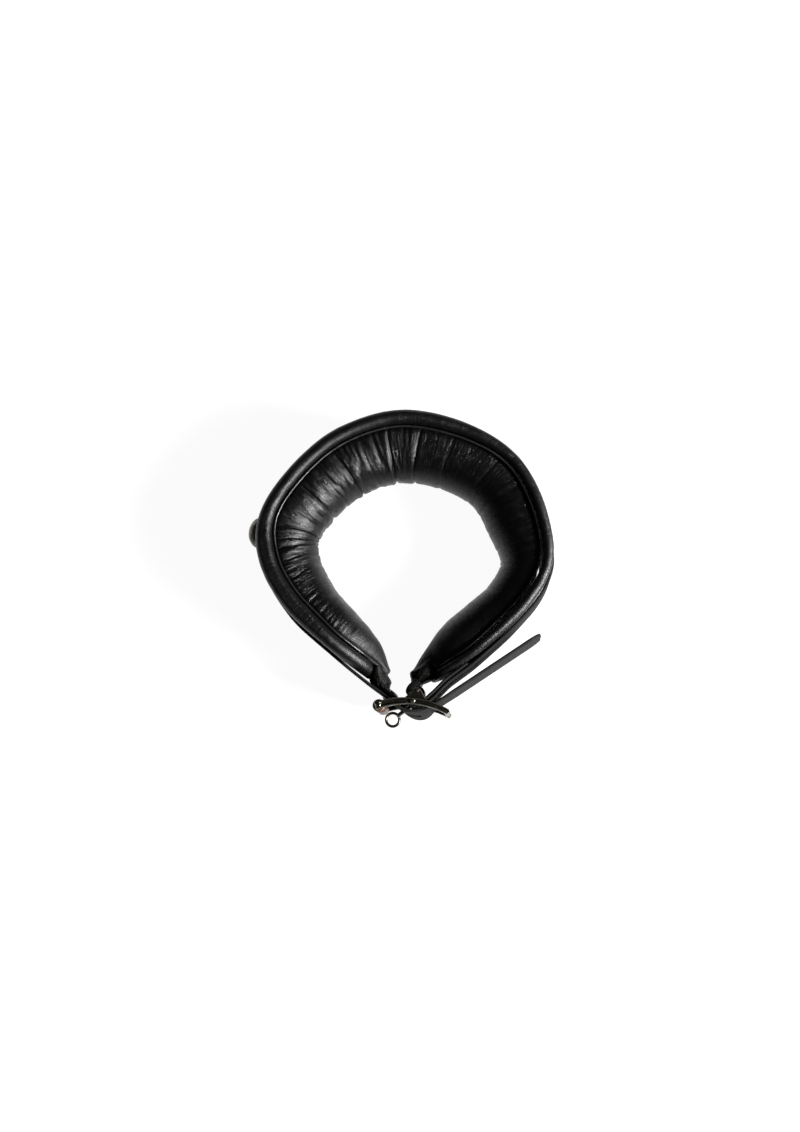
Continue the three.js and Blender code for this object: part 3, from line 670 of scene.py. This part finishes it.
def resample(values, count, axis):
    """Smooth resampling of a grid along one axis, by cubic interpolation."""
    values = np.moveaxis(values, axis, 0)
    n = len(values)
    t = np.linspace(0, n - 1, count)
    i = np.clip(np.floor(t).astype(int), 0, n - 2)
    f = (t - i).reshape(-1, *[1] * (values.ndim - 1))
    a, b = values[np.clip(i - 1, 0, n - 1)], values[i]
    c, d = values[i + 1], values[np.clip(i + 2, 0, n - 1)]
    made = b + 0.5 * f * (c - a + f * (2 * a - 5 * b + 4 * c - d + f * (3 * (b - c) + d - a)))
    return np.moveaxis(made, 0, axis)


def grid_normals(grid):
    du = np.gradient(grid, axis=0)
    dv = np.gradient(grid, axis=1)
    normal = np.cross(du, dv)
    normal /= np.maximum(np.linalg.norm(normal, axis=-1, keepdims=True), 1e-9)
    return normal


SIM_COLUMNS, SIM_ROWS, SIM_FRAMES = 262, 44, 22
WRINKLE_SHARE, LARGEST_WRINKLE = 0.27, 0.9
s_sim = np.linspace(-PAD_OVERRUN, band.length + PAD_OVERRUN, SIM_COLUMNS)
q_sim, girth = (np.array(values) for values in zip(*[even_q(s, SIM_ROWS) for s in s_sim]))
s_grid = np.repeat(s_sim[:, None], SIM_ROWS, 1)


def pad_shell(front):
    """Rings of the whole pad: the front grid's columns, each closed by a flat back."""
    xy, _, _ = band.at(np.linspace(s_sim[0], s_sim[-1], len(front)), -PAD_BACK)
    share = np.linspace(1, -1, 6)[1:-1]
    half = (front[:, 0, 2] - front[:, -1, 2]) / 2
    back = np.zeros((len(front), len(share), 3))
    back[..., :2] = xy[:, None]
    back[..., 2] = MID + share[None, :] * half[:, None]
    return np.concatenate([front, back[:, ::-1]], 1)


def simulate_pad():
    """Gathered leather: cloth too large for its frame, held at the seams and blown out from inside."""
    front = pad_surface(s_grid, q_sim, swell=0.88)
    inner = np.sin(math.pi * q_sim)
    pucker = noise(s_grid / 5.2 + 0.8 * noise(s_grid / 21, q_sim * 3, 31), q_sim * 2.2, 32)
    front += grid_normals(front) * (pucker * 0.45 * inner)[..., None]
    rings = pad_shell(front)
    cloth_obj = tube("pad_sim", rings)
    group = cloth_obj.vertex_groups.new(name="held")
    weight = np.zeros(rings.shape[:2])
    weight[:, 0] = weight[:, SIM_ROWS - 1:] = 1
    weight[:2] = weight[-2:] = 1
    for k in np.nonzero(weight.ravel() > 0)[0]:
        group.add([int(k)], 1.0, "REPLACE")
    modifier = cloth_obj.modifiers.new("cloth", "CLOTH")
    cloth = modifier.settings
    cloth.quality = 6
    cloth.mass = 0.25
    cloth.tension_stiffness = cloth.compression_stiffness = 22
    cloth.shear_stiffness = 8
    cloth.bending_stiffness = 0.12
    cloth.tension_damping = cloth.compression_damping = 12
    cloth.air_damping = 2
    cloth.vertex_group_mass = "held"
    cloth.shrink_min = cloth.shrink_max = -0.07
    cloth.use_pressure = True
    cloth.uniform_pressure_force = 5.0
    cloth.effector_weights.gravity = 0
    modifier.collision_settings.use_collision = False
    modifier.collision_settings.use_self_collision = False
    modifier.point_cache.frame_start, modifier.point_cache.frame_end = 1, SIM_FRAMES
    scene = bpy.context.scene
    for number in range(1, SIM_FRAMES + 1):
        scene.frame_set(number)
    depsgraph = bpy.context.evaluated_depsgraph_get()
    result = cloth_obj.evaluated_get(depsgraph).to_mesh()
    places = np.zeros(len(result.vertices) * 3)
    result.vertices.foreach_get("co", places)
    scene.frame_set(1)
    data = cloth_obj.data
    bpy.data.objects.remove(cloth_obj)
    bpy.data.meshes.remove(data)
    return (places.reshape(rings.shape) / MM - SHIFT)[:, :SIM_ROWS]


base = pad_surface(s_grid, q_sim)
blown = simulate_pad()
wrinkle = (blown - blur(blur(blown, 0, 7.0), 1, 5.0)) * WRINKLE_SHARE
size = np.linalg.norm(wrinkle, axis=-1, keepdims=True)
wrinkle *= np.minimum(1, LARGEST_WRINKLE / np.maximum(size, 1e-6))

COLUMNS, ROWS = 900, 84
s_fine = np.linspace(s_sim[0], s_sim[-1], COLUMNS)
body_grid = resample(resample(base, COLUMNS, 0), ROWS, 1)
wrinkle = resample(resample(wrinkle, COLUMNS, 0), ROWS, 1)
smooth_normal = grid_normals(body_grid)
q = np.linspace(0, 1, ROWS)[None, :]
s = s_fine[:, None]
girth_fine = np.interp(s_fine, s_sim, girth)[:, None]
from_seam = np.minimum(q, 1 - q) * girth_fine
toward_ends = smoothstep(-8, 34, from_end(s))

# pleats: where along the band each starts, how deep it is, how wide, and how it leans on its way in
PLEATS = [
    (60, 0.3, 2.4, 3), (76, 0.4, 2.4, 3), (90, 0.6, 2.2, 4), (101.5, 1.0, 2.0, 5), (109, 0.9, 2.0, 3),
    (121, 1.2, 2.2, 4), (136, 0.7, 2.2, 2), (152.5, 1.5, 2.2, 2), (168, 0.5, 2.4, 1), (185.5, 1.7, 2.2, 2),
    (205, 0.5, 2.4, 1), (226.3, 1.9, 2.0, -2), (250.5, 1.4, 2.2, -1), (274, 0.6, 2.4, -1), (307, 0.5, 2.6, 0),
    (331, 0.5, 2.6, 1), (352, 0.3, 2.6, 0), (371, 0.5, 2.4, -1), (398, 0.7, 2.4, -2), (424, 0.3, 2.4, -2),
]
relief = np.zeros((COLUMNS, ROWS))
facing = np.sin(math.pi * q)
for k, (at, depth, width, lean) in enumerate(PLEATS):
    bend = at + lean * facing + 1.4 * noise(q * 3.5, k * 7.3, 41)
    gap = s - bend
    sharp = np.where(gap < 0, width * 0.75, width * 0.5)
    strength = smoothstep(0, 0.12, facing * (0.85 + 0.3 * noise(q * 4, k * 3.1, 42)))
    relief -= depth * strength * np.exp(-np.abs(gap) / sharp) * (0.55 + 0.45 * facing)
    relief += depth * 0.35 * strength * np.exp(-((gap + width * 1.5) / (width * 1.1)) ** 2) * facing
# gathers: long soft folds, shorter ones, and the fine puckers at the seams
fullness = 1 - 0.85 * smoothstep(222, 262, s)
drift = 2.2 * noise(s / 24, q * 3.0, 51) + 0.7 * noise(s / 8, q * 6, 52)
long_fold = noise((s + drift) / 5.8, q * 1.7, 53)
relief += 0.15 * fullness * (1 - np.abs(long_fold) * 2) * smoothstep(0, 9, from_seam)
mid_fold = noise((s + drift * 0.8) / 2.7, q * 3.4 + 0.2 * s / 10, 54)
mid_place = smoothstep(-0.35, 0.45, noise(s / 19, q * 3.2, 55))
relief += 0.19 * fullness * np.clip(mid_fold, -0.5, 1) * mid_place
fine_fold = noise((s + drift * 0.5) / 1.45, q * 5.0, 56)
near_seam = np.exp(-(from_seam / 11) ** 2)
relief += (0.26 * fullness * near_seam + 0.04) * fine_fold
relief += 0.03 * noise(s / 1.1, q * 30, 57)
relief *= toward_ends * smoothstep(0, 2.2, from_seam)
wrinkle *= (smoothstep(-8, 95, from_end(s)) * fullness)[..., None]
# a narrow dip beside each seam
relief -= 0.9 * np.exp(-((from_seam - 0.8) / 1.4) ** 2)

# the grid's normals point into the filling
pad_grid = body_grid + wrinkle - smooth_normal * relief[..., None]
pad = tube("pad", close_ends(pad_shell(pad_grid), 1.2, 3))
dress(pad, lining_leather, "lining_leather", "pad_lining", "pad_filling")

# ---- Gathered ends of the lining ----

def knob(name, stations, seed, cad_name):
    """Gathered leather over the end of pad and roll; stations are x, y, half width, half height."""
    x, y, wide, tall = resample(np.array(stations, float), 70, 0).T
    t = np.linspace(0, 1, len(x))
    turn, way = full_turn(150)[None, :], t[:, None]
    folds = noise(turn * 4.6 + 0.8 * noise(way * 5, turn * 1.3, seed), way * 2.2, seed + 1)
    # the noise fades out where the turn closes
    folds = folds * np.minimum((2 * math.pi - turn) / 0.35, 1)
    deep = np.interp(t, [0, 0.35, 0.6, 0.85, 1.0], [0.01, 0.035, 0.06, 0.11, 0.20])[:, None]
    swell = 1 - deep * np.clip(1 - np.abs(folds) * 2.4, 0, 1) + 0.012 * noise(turn * 9, way * 14, seed + 2)
    rings = np.zeros((len(t), turn.size, 3))
    rings[..., 0] = x[:, None] + wide[:, None] * np.cos(turn) * swell
    rings[..., 1] = y[:, None]
    rings[..., 2] = MID + tall[:, None] * np.sin(turn) * swell
    dress(tube(name, close_ends(rings, 0.8)), gather_leather, "lining_leather", cad_name)


LEFT_KNOB = [
    (-13.6, -66.5, 4.0, 12), (-13.6, -70, 5.2, 11.8), (-12.9, -73, 6.6, 11.4), (-12.2, -75.5, 6.9, 11),
    (-11.5, -77.6, 5.5, 10.4), (-10.3, -79.6, 3.8, 9.8), (-8.8, -81.3, 2.6, 9.4),
]
RIGHT_KNOB = [
    (21.5, -62.5, 7.5, 12), (20.0, -66.2, 9.2, 13), (17.8, -68.8, 10.9, 13), (16.6, -71.2, 10.2, 12.2),
    (15.3, -73.4, 8.3, 11.2), (13.0, -75.3, 5.9, 10.2), (11.0, -77.0, 3.7, 9.2), (10.0, -78.4, 2.6, 8),
]
knob("end_knob_left", LEFT_KNOB, 61, "end_gather_left")
knob("end_knob_right", RIGHT_KNOB, 71, "end_gather_right")

# ---- Band ----

BAND_TO_ROLL = 5.6
BAND_TUCK = 1.3
BAND_THICKNESS = 2.4
band_s = BAND_TO_ROLL + 0.3 + (band.length - 2 * BAND_TO_ROLL - 0.6) * np.linspace(0, 1, 520)
round_off = END_ROUNDING - BAND_TO_ROLL
full_half = ROLL_LIFT - BAND_TO_ROLL
band_half = np.maximum(full_half * ellipse_rise((from_end(band_s) - BAND_TO_ROLL) / round_off), 1.5)
# the band's edges are tucked into the roll, however slim it is
band_half = band_half + ROLL_RADIUS - roll_radius(band_s) + BAND_TUCK
outline = strap_outline(BAND_THICKNESS, full_half, crease=0.16, inset=1.6)
rings = strap_rings(band, band_s, outline, band_half / full_half)
band_panel = tube("band_panel", close_ends(rings, 0.8))
dress(band_panel, band_leather, "band_leather", "outer_band")

# stitches along both edges of the band, outside
rows = []
FIRST_STITCH, STITCH_STEP, STITCH_INSET = END_ROUNDING * 0.35, 3.6, 3.0
along_s = np.arange(FIRST_STITCH, band.length - FIRST_STITCH, STITCH_STEP)
half = full_half * ellipse_rise((from_end(along_s) - BAND_TO_ROLL) / round_off) - STITCH_INSET
xy, _, out = band.at(along_s, BAND_THICKNESS / 2)
for sign in (1, -1):
    at = np.column_stack([xy, MID + sign * half])
    ahead = np.roll(at, -1, 0) - at
    ahead[-1] = ahead[-2]
    rows += stitch_shells(at, ahead, flat(out), 2.7, 0.26)
dress(merged("band_stitches", rows), thread, None)

# ---- Belt ----

BELT_WIDTH, BELT_THICKNESS = 36.0, 2.0
BELT_ON_BAND = BAND_THICKNESS / 2 + 0.6 + BELT_THICKNESS / 2
BAR = np.array([9.4, -88.9])
BAR_RADIUS = 1.5
FOLD_RADIUS = BAR_RADIUS + 0.25 + BELT_THICKNESS / 2
SLOT_LOW, SLOT_HIGH, SLOT_HALF_HEIGHT = [-2.2, -99], [13.4, -84], 3.1
FOLD_STITCH_LIFT = 15.2
BULGE_START, BULGE_END = 104, 77
BULGE_LEAN, TAIL_LEAN = 0.11, 0.03


def on_band(distance, offset):
    return band.at(np.array([distance]), offset)[0][0].tolist()


FOLD_BACK = [
    [43.5, -64.9], [35.5, -70.7], [29, -75.7], [23.4, -81.3], [20.2, -84.2], [17, -86.7], [13.2, -87.1],
]
FOLD = [
    (BAR + FOLD_RADIUS * np.array([math.cos(a * math.pi), math.sin(a * math.pi)])).tolist()
    for a in (0.5, 0.75, 1, 1.25, 1.5)
]
STRAND = [
    [13.2, -90.6], [17.6, -89.4], [21.9, -86.4], [25.2, -82.9], [30.7, -77.4], [36.9, -72.7], [45.8, -66.2],
]
RIGHT_LEG = [
    [58.3, -55.5], [69.9, -45], [79.6, -34.8], [87.2, -26], [93.4, -15.9], [97.3, -4], [97.2, 7], [94.6, 20],
]
ROUND_THE_BAND = [on_band((0.73 - 0.03 * i) * band.length, BELT_ON_BAND) for i in range(17)]
LEFT_LEG = [on_band(share * band.length, offset) for share, offset in ((0.19, 3.8), (0.12, 5), (0.06, 5.7))]
THROUGH_BUCKLE = [
    [-19.9, -76.6], [-11.3, -82.9], [-4.5, -88.1], [0, -91.7], [5.6, -95], [10.6, -96], [15.4, -95.3],
    [20.6, -91.9], [25.5, -88.8],
]
TAIL = [[36, -82], [89.5, -47]]
belt_path = Plan(FOLD_BACK + FOLD + STRAND + RIGHT_LEG + ROUND_THE_BAND + LEFT_LEG + THROUGH_BUCKLE + TAIL)

belt_steps = np.concatenate([
    np.arange(0.8, belt_path.length - 10, 0.9),
    belt_path.length - 10 + 9.4 * np.linspace(0, 1, 26) ** 0.7,
])
to_tip = belt_path.length - belt_steps
share = np.where(to_tip < 9, 0.45 + 0.55 * ellipse_rise(to_tip / 9), 1.0)
# the belt's bulge in front of the buckle and its tail lean outward
past_bulge = (BULGE_START - to_tip) / (BULGE_START - BULGE_END)
bulge = np.sin(math.pi * np.clip(past_bulge, 0, 1)) ** 2
lean = BULGE_LEAN * bulge + TAIL_LEAN * smoothstep(0.5, 1.5, past_bulge) * (1 - bulge)
outline = strap_outline(BELT_THICKNESS, BELT_WIDTH / 2, crease=0.14)
rings = strap_rings(belt_path, belt_steps, outline, share, lean)
buckle_strap = tube("buckle_strap", close_ends(rings, 0.5))
dress(buckle_strap, belt_leather, "belt_leather", "belt_strap")


def box_cutter(low, high, half_height):
    """A box round mid height, to cut the tongue's slot with."""
    cutter = bmesh.new()
    bmesh.ops.create_cube(cutter, size=1)
    centre = (np.array(low) + np.array(high)) / 2
    size = np.array(high) - np.array(low)
    for v in cutter.verts:
        place = [centre[0] + v.co.x * size[0], centre[1] + v.co.y * size[1], MID + v.co.z * 2 * half_height]
        v.co = Vector(to_row(place))
    mesh = bpy.data.meshes.new("cutter")
    cutter.to_mesh(mesh)
    cutter.free()
    return placed("cutter", mesh)


def apply_modifiers(obj):
    """Keeps the mesh that an object's modifiers make."""
    depsgraph = bpy.context.evaluated_depsgraph_get()
    mesh = bpy.data.meshes.new_from_object(obj.evaluated_get(depsgraph))
    old = obj.data
    obj.modifiers.clear()
    obj.data = mesh
    bpy.data.meshes.remove(old)


slot_cutter = box_cutter(SLOT_LOW, SLOT_HIGH, SLOT_HALF_HEIGHT)
boolean = buckle_strap.modifiers.new("slot", "BOOLEAN")
boolean.operation, boolean.object, boolean.solver = "DIFFERENCE", slot_cutter, "EXACT"
apply_modifiers(buckle_strap)
bpy.data.objects.remove(slot_cutter)

# the belt's stitches: two rows where its fold is sewn down beside the buckle
rows = []
fold_s = np.arange(1.8, 20, 2.6)
xy, way, out = belt_path.at(fold_s, BELT_THICKNESS / 2)
for sign in (1, -1):
    at = np.column_stack([xy, np.full(len(fold_s), MID + sign * FOLD_STITCH_LIFT)])
    rows += stitch_shells(at, flat(way), flat(out), 2.0, 0.24)
dress(merged("belt_stitches", rows), thread, None)

# ---- End tabs ----

TAB_WIDTH = 20.0
left_path = Plan([[-10.4, -80.3], [-6.0, -83.8], [0.0, -88.4]])
tab_s = np.linspace(0.5, left_path.length - 0.5, 24)
rings = strap_rings(left_path, tab_s, strap_outline(4.2, TAB_WIDTH / 2, 0.14, 1.5))
dress(tube("tab_left", close_ends(rings, 0.9)), band_leather, "band_leather", "end_tab_left")
# the right tab is thick where it hangs from the knob and thin where it is looped round its pin
RIGHT_TAB = [
    [12.4, -75.4], [9.6, -77.8], [7.2, -80.0], [6.2, -82.2], [7.4, -84.0], [10.0, -84.3], [12.4, -84.6],
    [14.6, -83.7], [15.0, -81.8], [13.9, -80.1], [12.2, -79.6],
]
RIGHT_TAB_THICKNESS = [5.2, 5.2, 4.8, 4.2, 2.6, 1.8, 1.8, 2.0, 2.0, 1.8, 1.4]
right_path = Plan(RIGHT_TAB)
tab_s = np.linspace(0.4, right_path.length - 0.4, 90)
at_place = [right_path.nearest(place) for place in RIGHT_TAB]
thick = np.interp(tab_s, at_place, RIGHT_TAB_THICKNESS)
thick = np.convolve(np.pad(thick, 6, mode="edge"), np.ones(13) / 13, "valid")
rings = strap_rings(right_path, tab_s, strap_outline(2.0, TAB_WIDTH / 2, 0.14, 1.4))
middle = right_path.at(tab_s)[0][:, None]
rings[..., :2] = middle + (rings[..., :2] - middle) * (thick / 2)[:, None, None]
dress(tube("tab_right", close_ends(rings, 0.8)), band_leather, "band_leather", "end_tab_right")

# ---- Rivets and stud ----

def rivet_shell(xy, out, height, low, high):
    """Rivet with a flat back head at low, a shank and a domed head at high."""
    head, dome, shank = 3.4, 0.95, 1.1
    profile = [[0.02, low - dome * 0.72], [head * 0.55, low - dome * 0.68], [head * 0.9, low - dome * 0.4]]
    profile += [[head, low], [shank, low], [shank, high], [head, high], [head * 0.93, high + dome * 0.45]]
    profile += [[head * 0.72, high + dome * 0.8], [head * 0.4, high + dome * 0.96], [0.02, high + dome]]
    return lathe_shell(rounded(profile, 0.2), frame_at(xy, out, height), 36)


def rivet_pair(name, cad, path, distance, low, high, rise, flip=1.0):
    xy, _, out = path.at(np.array([distance]))
    for end, sign in (("upper", 1), ("lower", -1)):
        shell = rivet_shell(xy[0], out[0] * flip, MID + sign * rise, low - 0.4, high + 0.3)
        nickel_piece(f"{name}_{end}", shell, f"{cad}_{end}")


half_belt = BELT_THICKNESS / 2
rivet_pair("back_rivet", "rivet_back", band, band.length / 2, -1.2, BELT_ON_BAND + half_belt, 9)
at_tab = belt_path.nearest([-7.4, -86])
rivet_pair("tab_rivet", "rivet_tab", belt_path, at_tab, -half_belt - 3.5, half_belt, 5.5, -1)

STUD_RADIUS = 10.4
STUD_BORE = 2.4
stud_s = band.s[np.argmax(band.xy[:, 1] > 21.8)]
stud_xy, _, stud_out = band.at(np.array([stud_s]))
stud_frame = frame_at(stud_xy[0], stud_out[0])
stud_base = BELT_ON_BAND + half_belt + 0.3
dome_base = stud_base + 1.5
dome = [[0.05, dome_base + 4.5], [STUD_BORE, dome_base + 4.5], [STUD_BORE, dome_base]]
dome += [[STUD_RADIUS - 0.2, dome_base], [STUD_RADIUS, dome_base + 0.7]]
for a in np.linspace(0.12, 1.45, 14):
    dome.append([STUD_RADIUS * math.cos(a), dome_base + 0.6 + 8.5 * math.sin(a) ** 0.92])
dome = rounded(dome + [[0.05, dome_base + 9.15]], 0.3)
nickel_piece("stud_cap", lathe_shell(dome, stud_frame, 72), "stud_dome")
bezel = [
    [STUD_BORE, stud_base], [11.0, stud_base], [11.2, stud_base + 0.35], [11.15, stud_base + 0.8],
    [10.9, stud_base + 1.1], [10.4, stud_base + 1.2], [STUD_BORE, stud_base + 1.2], [STUD_BORE, stud_base],
]
nickel_piece("stud_ring", lathe_shell(bezel, stud_frame, 72), "stud_bezel")
screw_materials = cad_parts["stud_screw"].data.materials
screw_materials.clear()
screw_materials.append(nickel)

# ---- Buckle ----

ARC_RADIUS = 53.5
TILT = math.radians(-5.3)
HALF_LENGTH = 21.7
RAIL_LIFT = 22.2
RAIL_HALF_SIZE = (2.2, 2.0)
TAB_PIN = np.array([12.4, -82.4])
TAB_PIN_RADIUS = 0.9
LUG_RADIUS = 1.9
AXLE_RADIUS, END_BAR_RADIUS = 1.6, 1.7
ROLLER_HALF_LENGTH, ROLLER_BORE = 19.4, 2.0
BLADE_HALF_WIDTH, BLADE_HALF_HEIGHT = 1.2, 2.5
HUB_BORE, HUB_RADIUS = 1.8, 3.4
EYE = np.array([-4.6, -99.2])
EYE_RADIUS, EYE_WIRE = 4.2, 0.95
BLADE_END = np.array([-0.9, -96.4])


def on_buckle(along, offset=0.0):
    """Places on the buckle's arc, seen from above; along is measured from the centre bar."""
    angle = np.asarray(along, float) / ARC_RADIUS
    reach = ARC_RADIUS + offset
    local = np.stack([reach * np.sin(angle), reach * np.cos(angle) - ARC_RADIUS], -1)
    c, d = math.cos(TILT), math.sin(TILT)
    return local @ np.array([[c, d], [-d, c]]) + BAR


def upright_shell(place, profile, sides=40):
    """A turned shell about an upright axis; heights are measured from mid height."""
    matrix = Matrix.Translation(Vector(to_row([place[0], place[1], MID])))
    return lathe_shell(profile, matrix, sides)


def rod_profile(radius, half):
    return [[0.02, -half], [radius, -half], [radius, half], [0.02, half]]


def fuse(name, shells, voxel, smoothing):
    """Grows several closed shells together into one cast body with soft inner corners."""
    obj = merged(name, shells)
    remesh = obj.modifiers.new("remesh", "REMESH")
    remesh.mode = "VOXEL"
    remesh.voxel_size = voxel * MM
    remesh.use_smooth_shade = True
    soften = obj.modifiers.new("soften", "SMOOTH")
    soften.factor = 0.5
    soften.iterations = smoothing
    apply_modifiers(obj)
    return obj


def rail_shell(sign):
    """A curved rail with a hollow between raised edges on its upper and its lower side."""
    along = np.linspace(-HALF_LENGTH - 1.2, HALF_LENGTH + 1.2, 90)
    place = on_buckle(along)
    out = on_buckle(along, 1.0) - place
    slim = np.linspace(1.12, 0.78, len(along))
    side = [(1.0, -0.62), (1.0, 0.0), (1.0, 0.62), (0.97, 0.86), (0.86, 0.98), (0.72, 1.0), (0.58, 0.93)]
    hollow = [(0.42, 0.66), (0.22, 0.56), (0.0, 0.53)]
    quarter = side[1:] + hollow
    half = quarter + [(-a, b) for a, b in quarter[-2::-1]]
    outline = np.array(half + [(-a, -b) for a, b in half[1:-1]]) * RAIL_HALF_SIZE
    rings = np.zeros((len(along), len(outline), 3))
    rings[..., :2] = place[:, None] + out[:, None] * outline[None, :, :1] * slim[:, None, None]
    rings[..., 2] = MID + sign * RAIL_LIFT + outline[None, :, 1] * slim[:, None]
    return skin(close_ends(rings, 0.9))


def lug_shell(sign):
    """Triangular lug over a rail, rounded about the tab pin."""
    left, right = on_buckle(-7.0, 0.6), on_buckle(9.5, 0.6)
    arc = np.linspace(0.64, math.pi - 0.64, 12)
    outline = np.vstack([left, right, TAB_PIN + LUG_RADIUS * np.stack([np.cos(arc), np.sin(arc)], 1)])
    levels = [(-1.2, 0.82), (-1.1, 0.95), (-0.8, 1.0), (0.8, 1.0), (1.1, 0.95), (1.2, 0.82)]
    centre = outline.mean(0)
    rings = np.zeros((len(levels), len(outline), 3))
    for k, (h, size) in enumerate(levels):
        rings[k, :, :2] = centre + (outline - centre) * (0.5 + 0.5 * size)
        rings[k, :, 2] = MID + sign * RAIL_LIFT + h
    return skin(rings)


roller_place, end_place = on_buckle(-HALF_LENGTH), on_buckle(HALF_LENGTH)
axle_end = [[AXLE_RADIUS, RAIL_LIFT + 1.9], [1.3, RAIL_LIFT + 2.3], [0.02, RAIL_LIFT + 2.4]]
axle = [[r, -h] for r, h in reversed(axle_end)] + axle_end
end_bar = rod_profile(END_BAR_RADIUS, RAIL_LIFT)
frame_shells = [rail_shell(1), rail_shell(-1), lug_shell(1), lug_shell(-1)]
frame_shells += [upright_shell(roller_place, axle), upright_shell(end_place, end_bar)]
buckle = fuse("buckle", frame_shells, 0.27, 5)
dress(buckle, nickel, "nickel", "buckle_frame")

half_bar = RAIL_LIFT + 2.35
bar = rounded(rod_profile(BAR_RADIUS, half_bar), 0.45, 5)
nickel_piece("fold_bar", upright_shell(BAR, bar), "centre_bar")
half_pin = RAIL_LIFT + 1.2 + 0.4
pin = rounded(rod_profile(TAB_PIN_RADIUS, half_pin), 0.3, 4)
nickel_piece("loop_pin", upright_shell(TAB_PIN, pin), "tab_pin")

# roller: a rolled tube with a bead near each end
low = -ROLLER_HALF_LENGTH
outer = [[ROLLER_BORE, low], [3.5, low], [3.9, low + 0.4], [3.9, low + 1.2]]
outer += [[3.72, low + 1.45], [3.72, low + 1.75], [3.88, low + 2.0]]
profile = outer + [[r, -h] for r, h in reversed(outer)] + [[ROLLER_BORE, low]]
roller = make_object("roller_tube", *upright_shell(roller_place, profile, 72))
dress(roller, bronze, "bronze", "roller", body="buckle_roller")


def tongue_shells():
    """Tongue: a flat blade with a hub round the centre bar, and the lock eye at its end."""
    start = BAR + unit(BLADE_END - BAR) * 2.0
    path = Plan([start, (BAR + BLADE_END) / 2, BLADE_END])
    xy, _, out = path.at(np.linspace(0, path.length, 40))
    angles = full_turn(32)
    a = np.sign(np.cos(angles)) * np.abs(np.cos(angles)) ** 0.4
    b = np.sign(np.sin(angles)) * np.abs(np.sin(angles)) ** 0.4
    rings = np.zeros((len(xy), len(angles), 3))
    rings[..., :2] = xy[:, None] + out[:, None] * (a * BLADE_HALF_WIDTH)[None, :, None]
    rings[..., 2] = MID + (b * BLADE_HALF_HEIGHT)[None, :]
    blade = skin(close_ends(rings, 0.6))
    half = BLADE_HALF_HEIGHT
    hub = [[HUB_BORE, -half], [HUB_RADIUS, -half], [HUB_RADIUS, half], [HUB_BORE, half], [HUB_BORE, -half]]
    hub = upright_shell(BAR, rounded(hub, 0.3))
    turns, small = full_turn(72), full_turn(18)
    ring = np.zeros((72, 18, 3))
    r = EYE_RADIUS + EYE_WIRE * np.cos(small)
    ring[..., 0] = EYE[0] + np.cos(turns)[:, None] * r
    ring[..., 1] = EYE[1] + np.sin(turns)[:, None] * r
    ring[..., 2] = MID + EYE_WIRE * np.sin(small)
    return [blade, hub, skin(ring, loop=True)]


tongue = fuse("tongue", tongue_shells(), 0.17, 3)
dress(tongue, nickel, "nickel", "lock_tongue", body="locking_tongue")

# ---- Floor, light and camera ----

world = bpy.data.worlds.new("studio")
bpy.context.scene.world = world
world.use_nodes = True
set_inputs(world.node_tree.nodes["Background"], {"Color": (1, 1, 1, 1), "Strength": 0.05})

FLOOR = 6.0
KEY_PLACE, KEY_TARGET = Vector((1.05, -0.30, 0.62)), Vector((0, 0, 0.03))
KEY_SIZE, KEY_POWER = 0.40, 88.0
# nearly overhead, a little towards the buckle and to the right of the middle
CAMERA_OFFSET = Vector((0.050, -0.140, 0.78607))
FOCAL_LENGTH = 39.18

floor_mesh = bpy.data.meshes.new("floor")
corners = [(-FLOOR, -FLOOR, 0), (FLOOR, -FLOOR, 0), (FLOOR, FLOOR, 0), (-FLOOR, FLOOR, 0)]
floor_mesh.from_pydata(corners, [], [(0, 1, 2, 3)])
floor = placed("floor", floor_mesh)
floor_material, _, floor_shader = build("floor_white", 0.9, (0.09, 0.09, 0.09))
glow = {"Emission Color": (1, 1, 1, 1), "Emission Strength": 0.95}
set_inputs(floor_shader, {"Specular IOR Level": 0.1, **glow})
floor_mesh.materials.append(floor_material)

key_light = bpy.data.lights.new("key", "AREA")
key_light.shape = "RECTANGLE"
key_light.size = key_light.size_y = KEY_SIZE
key_light.energy = KEY_POWER
key = placed("key", key_light)
key.location = KEY_PLACE
key.rotation_euler = (KEY_TARGET - KEY_PLACE).to_track_quat("-Z", "Y").to_euler()

camera_data = bpy.data.cameras.new("camera")
camera_data.lens = FOCAL_LENGTH
camera_data.sensor_width = 36
camera = placed("camera", camera_data)
target = Vector(to_row([0, 0, MID]))
eye = target + CAMERA_OFFSET
back = (eye - target).normalized()
across_view = Vector((0, 1, 0)).cross(back).normalized()
up_view = back.cross(across_view)
turned = Matrix((across_view, up_view, back)).transposed()
camera.matrix_world = Matrix.Translation(eye) @ turned.to_4x4()
bpy.context.scene.camera = camera
bpy.context.scene.view_settings.view_transform = "Standard"
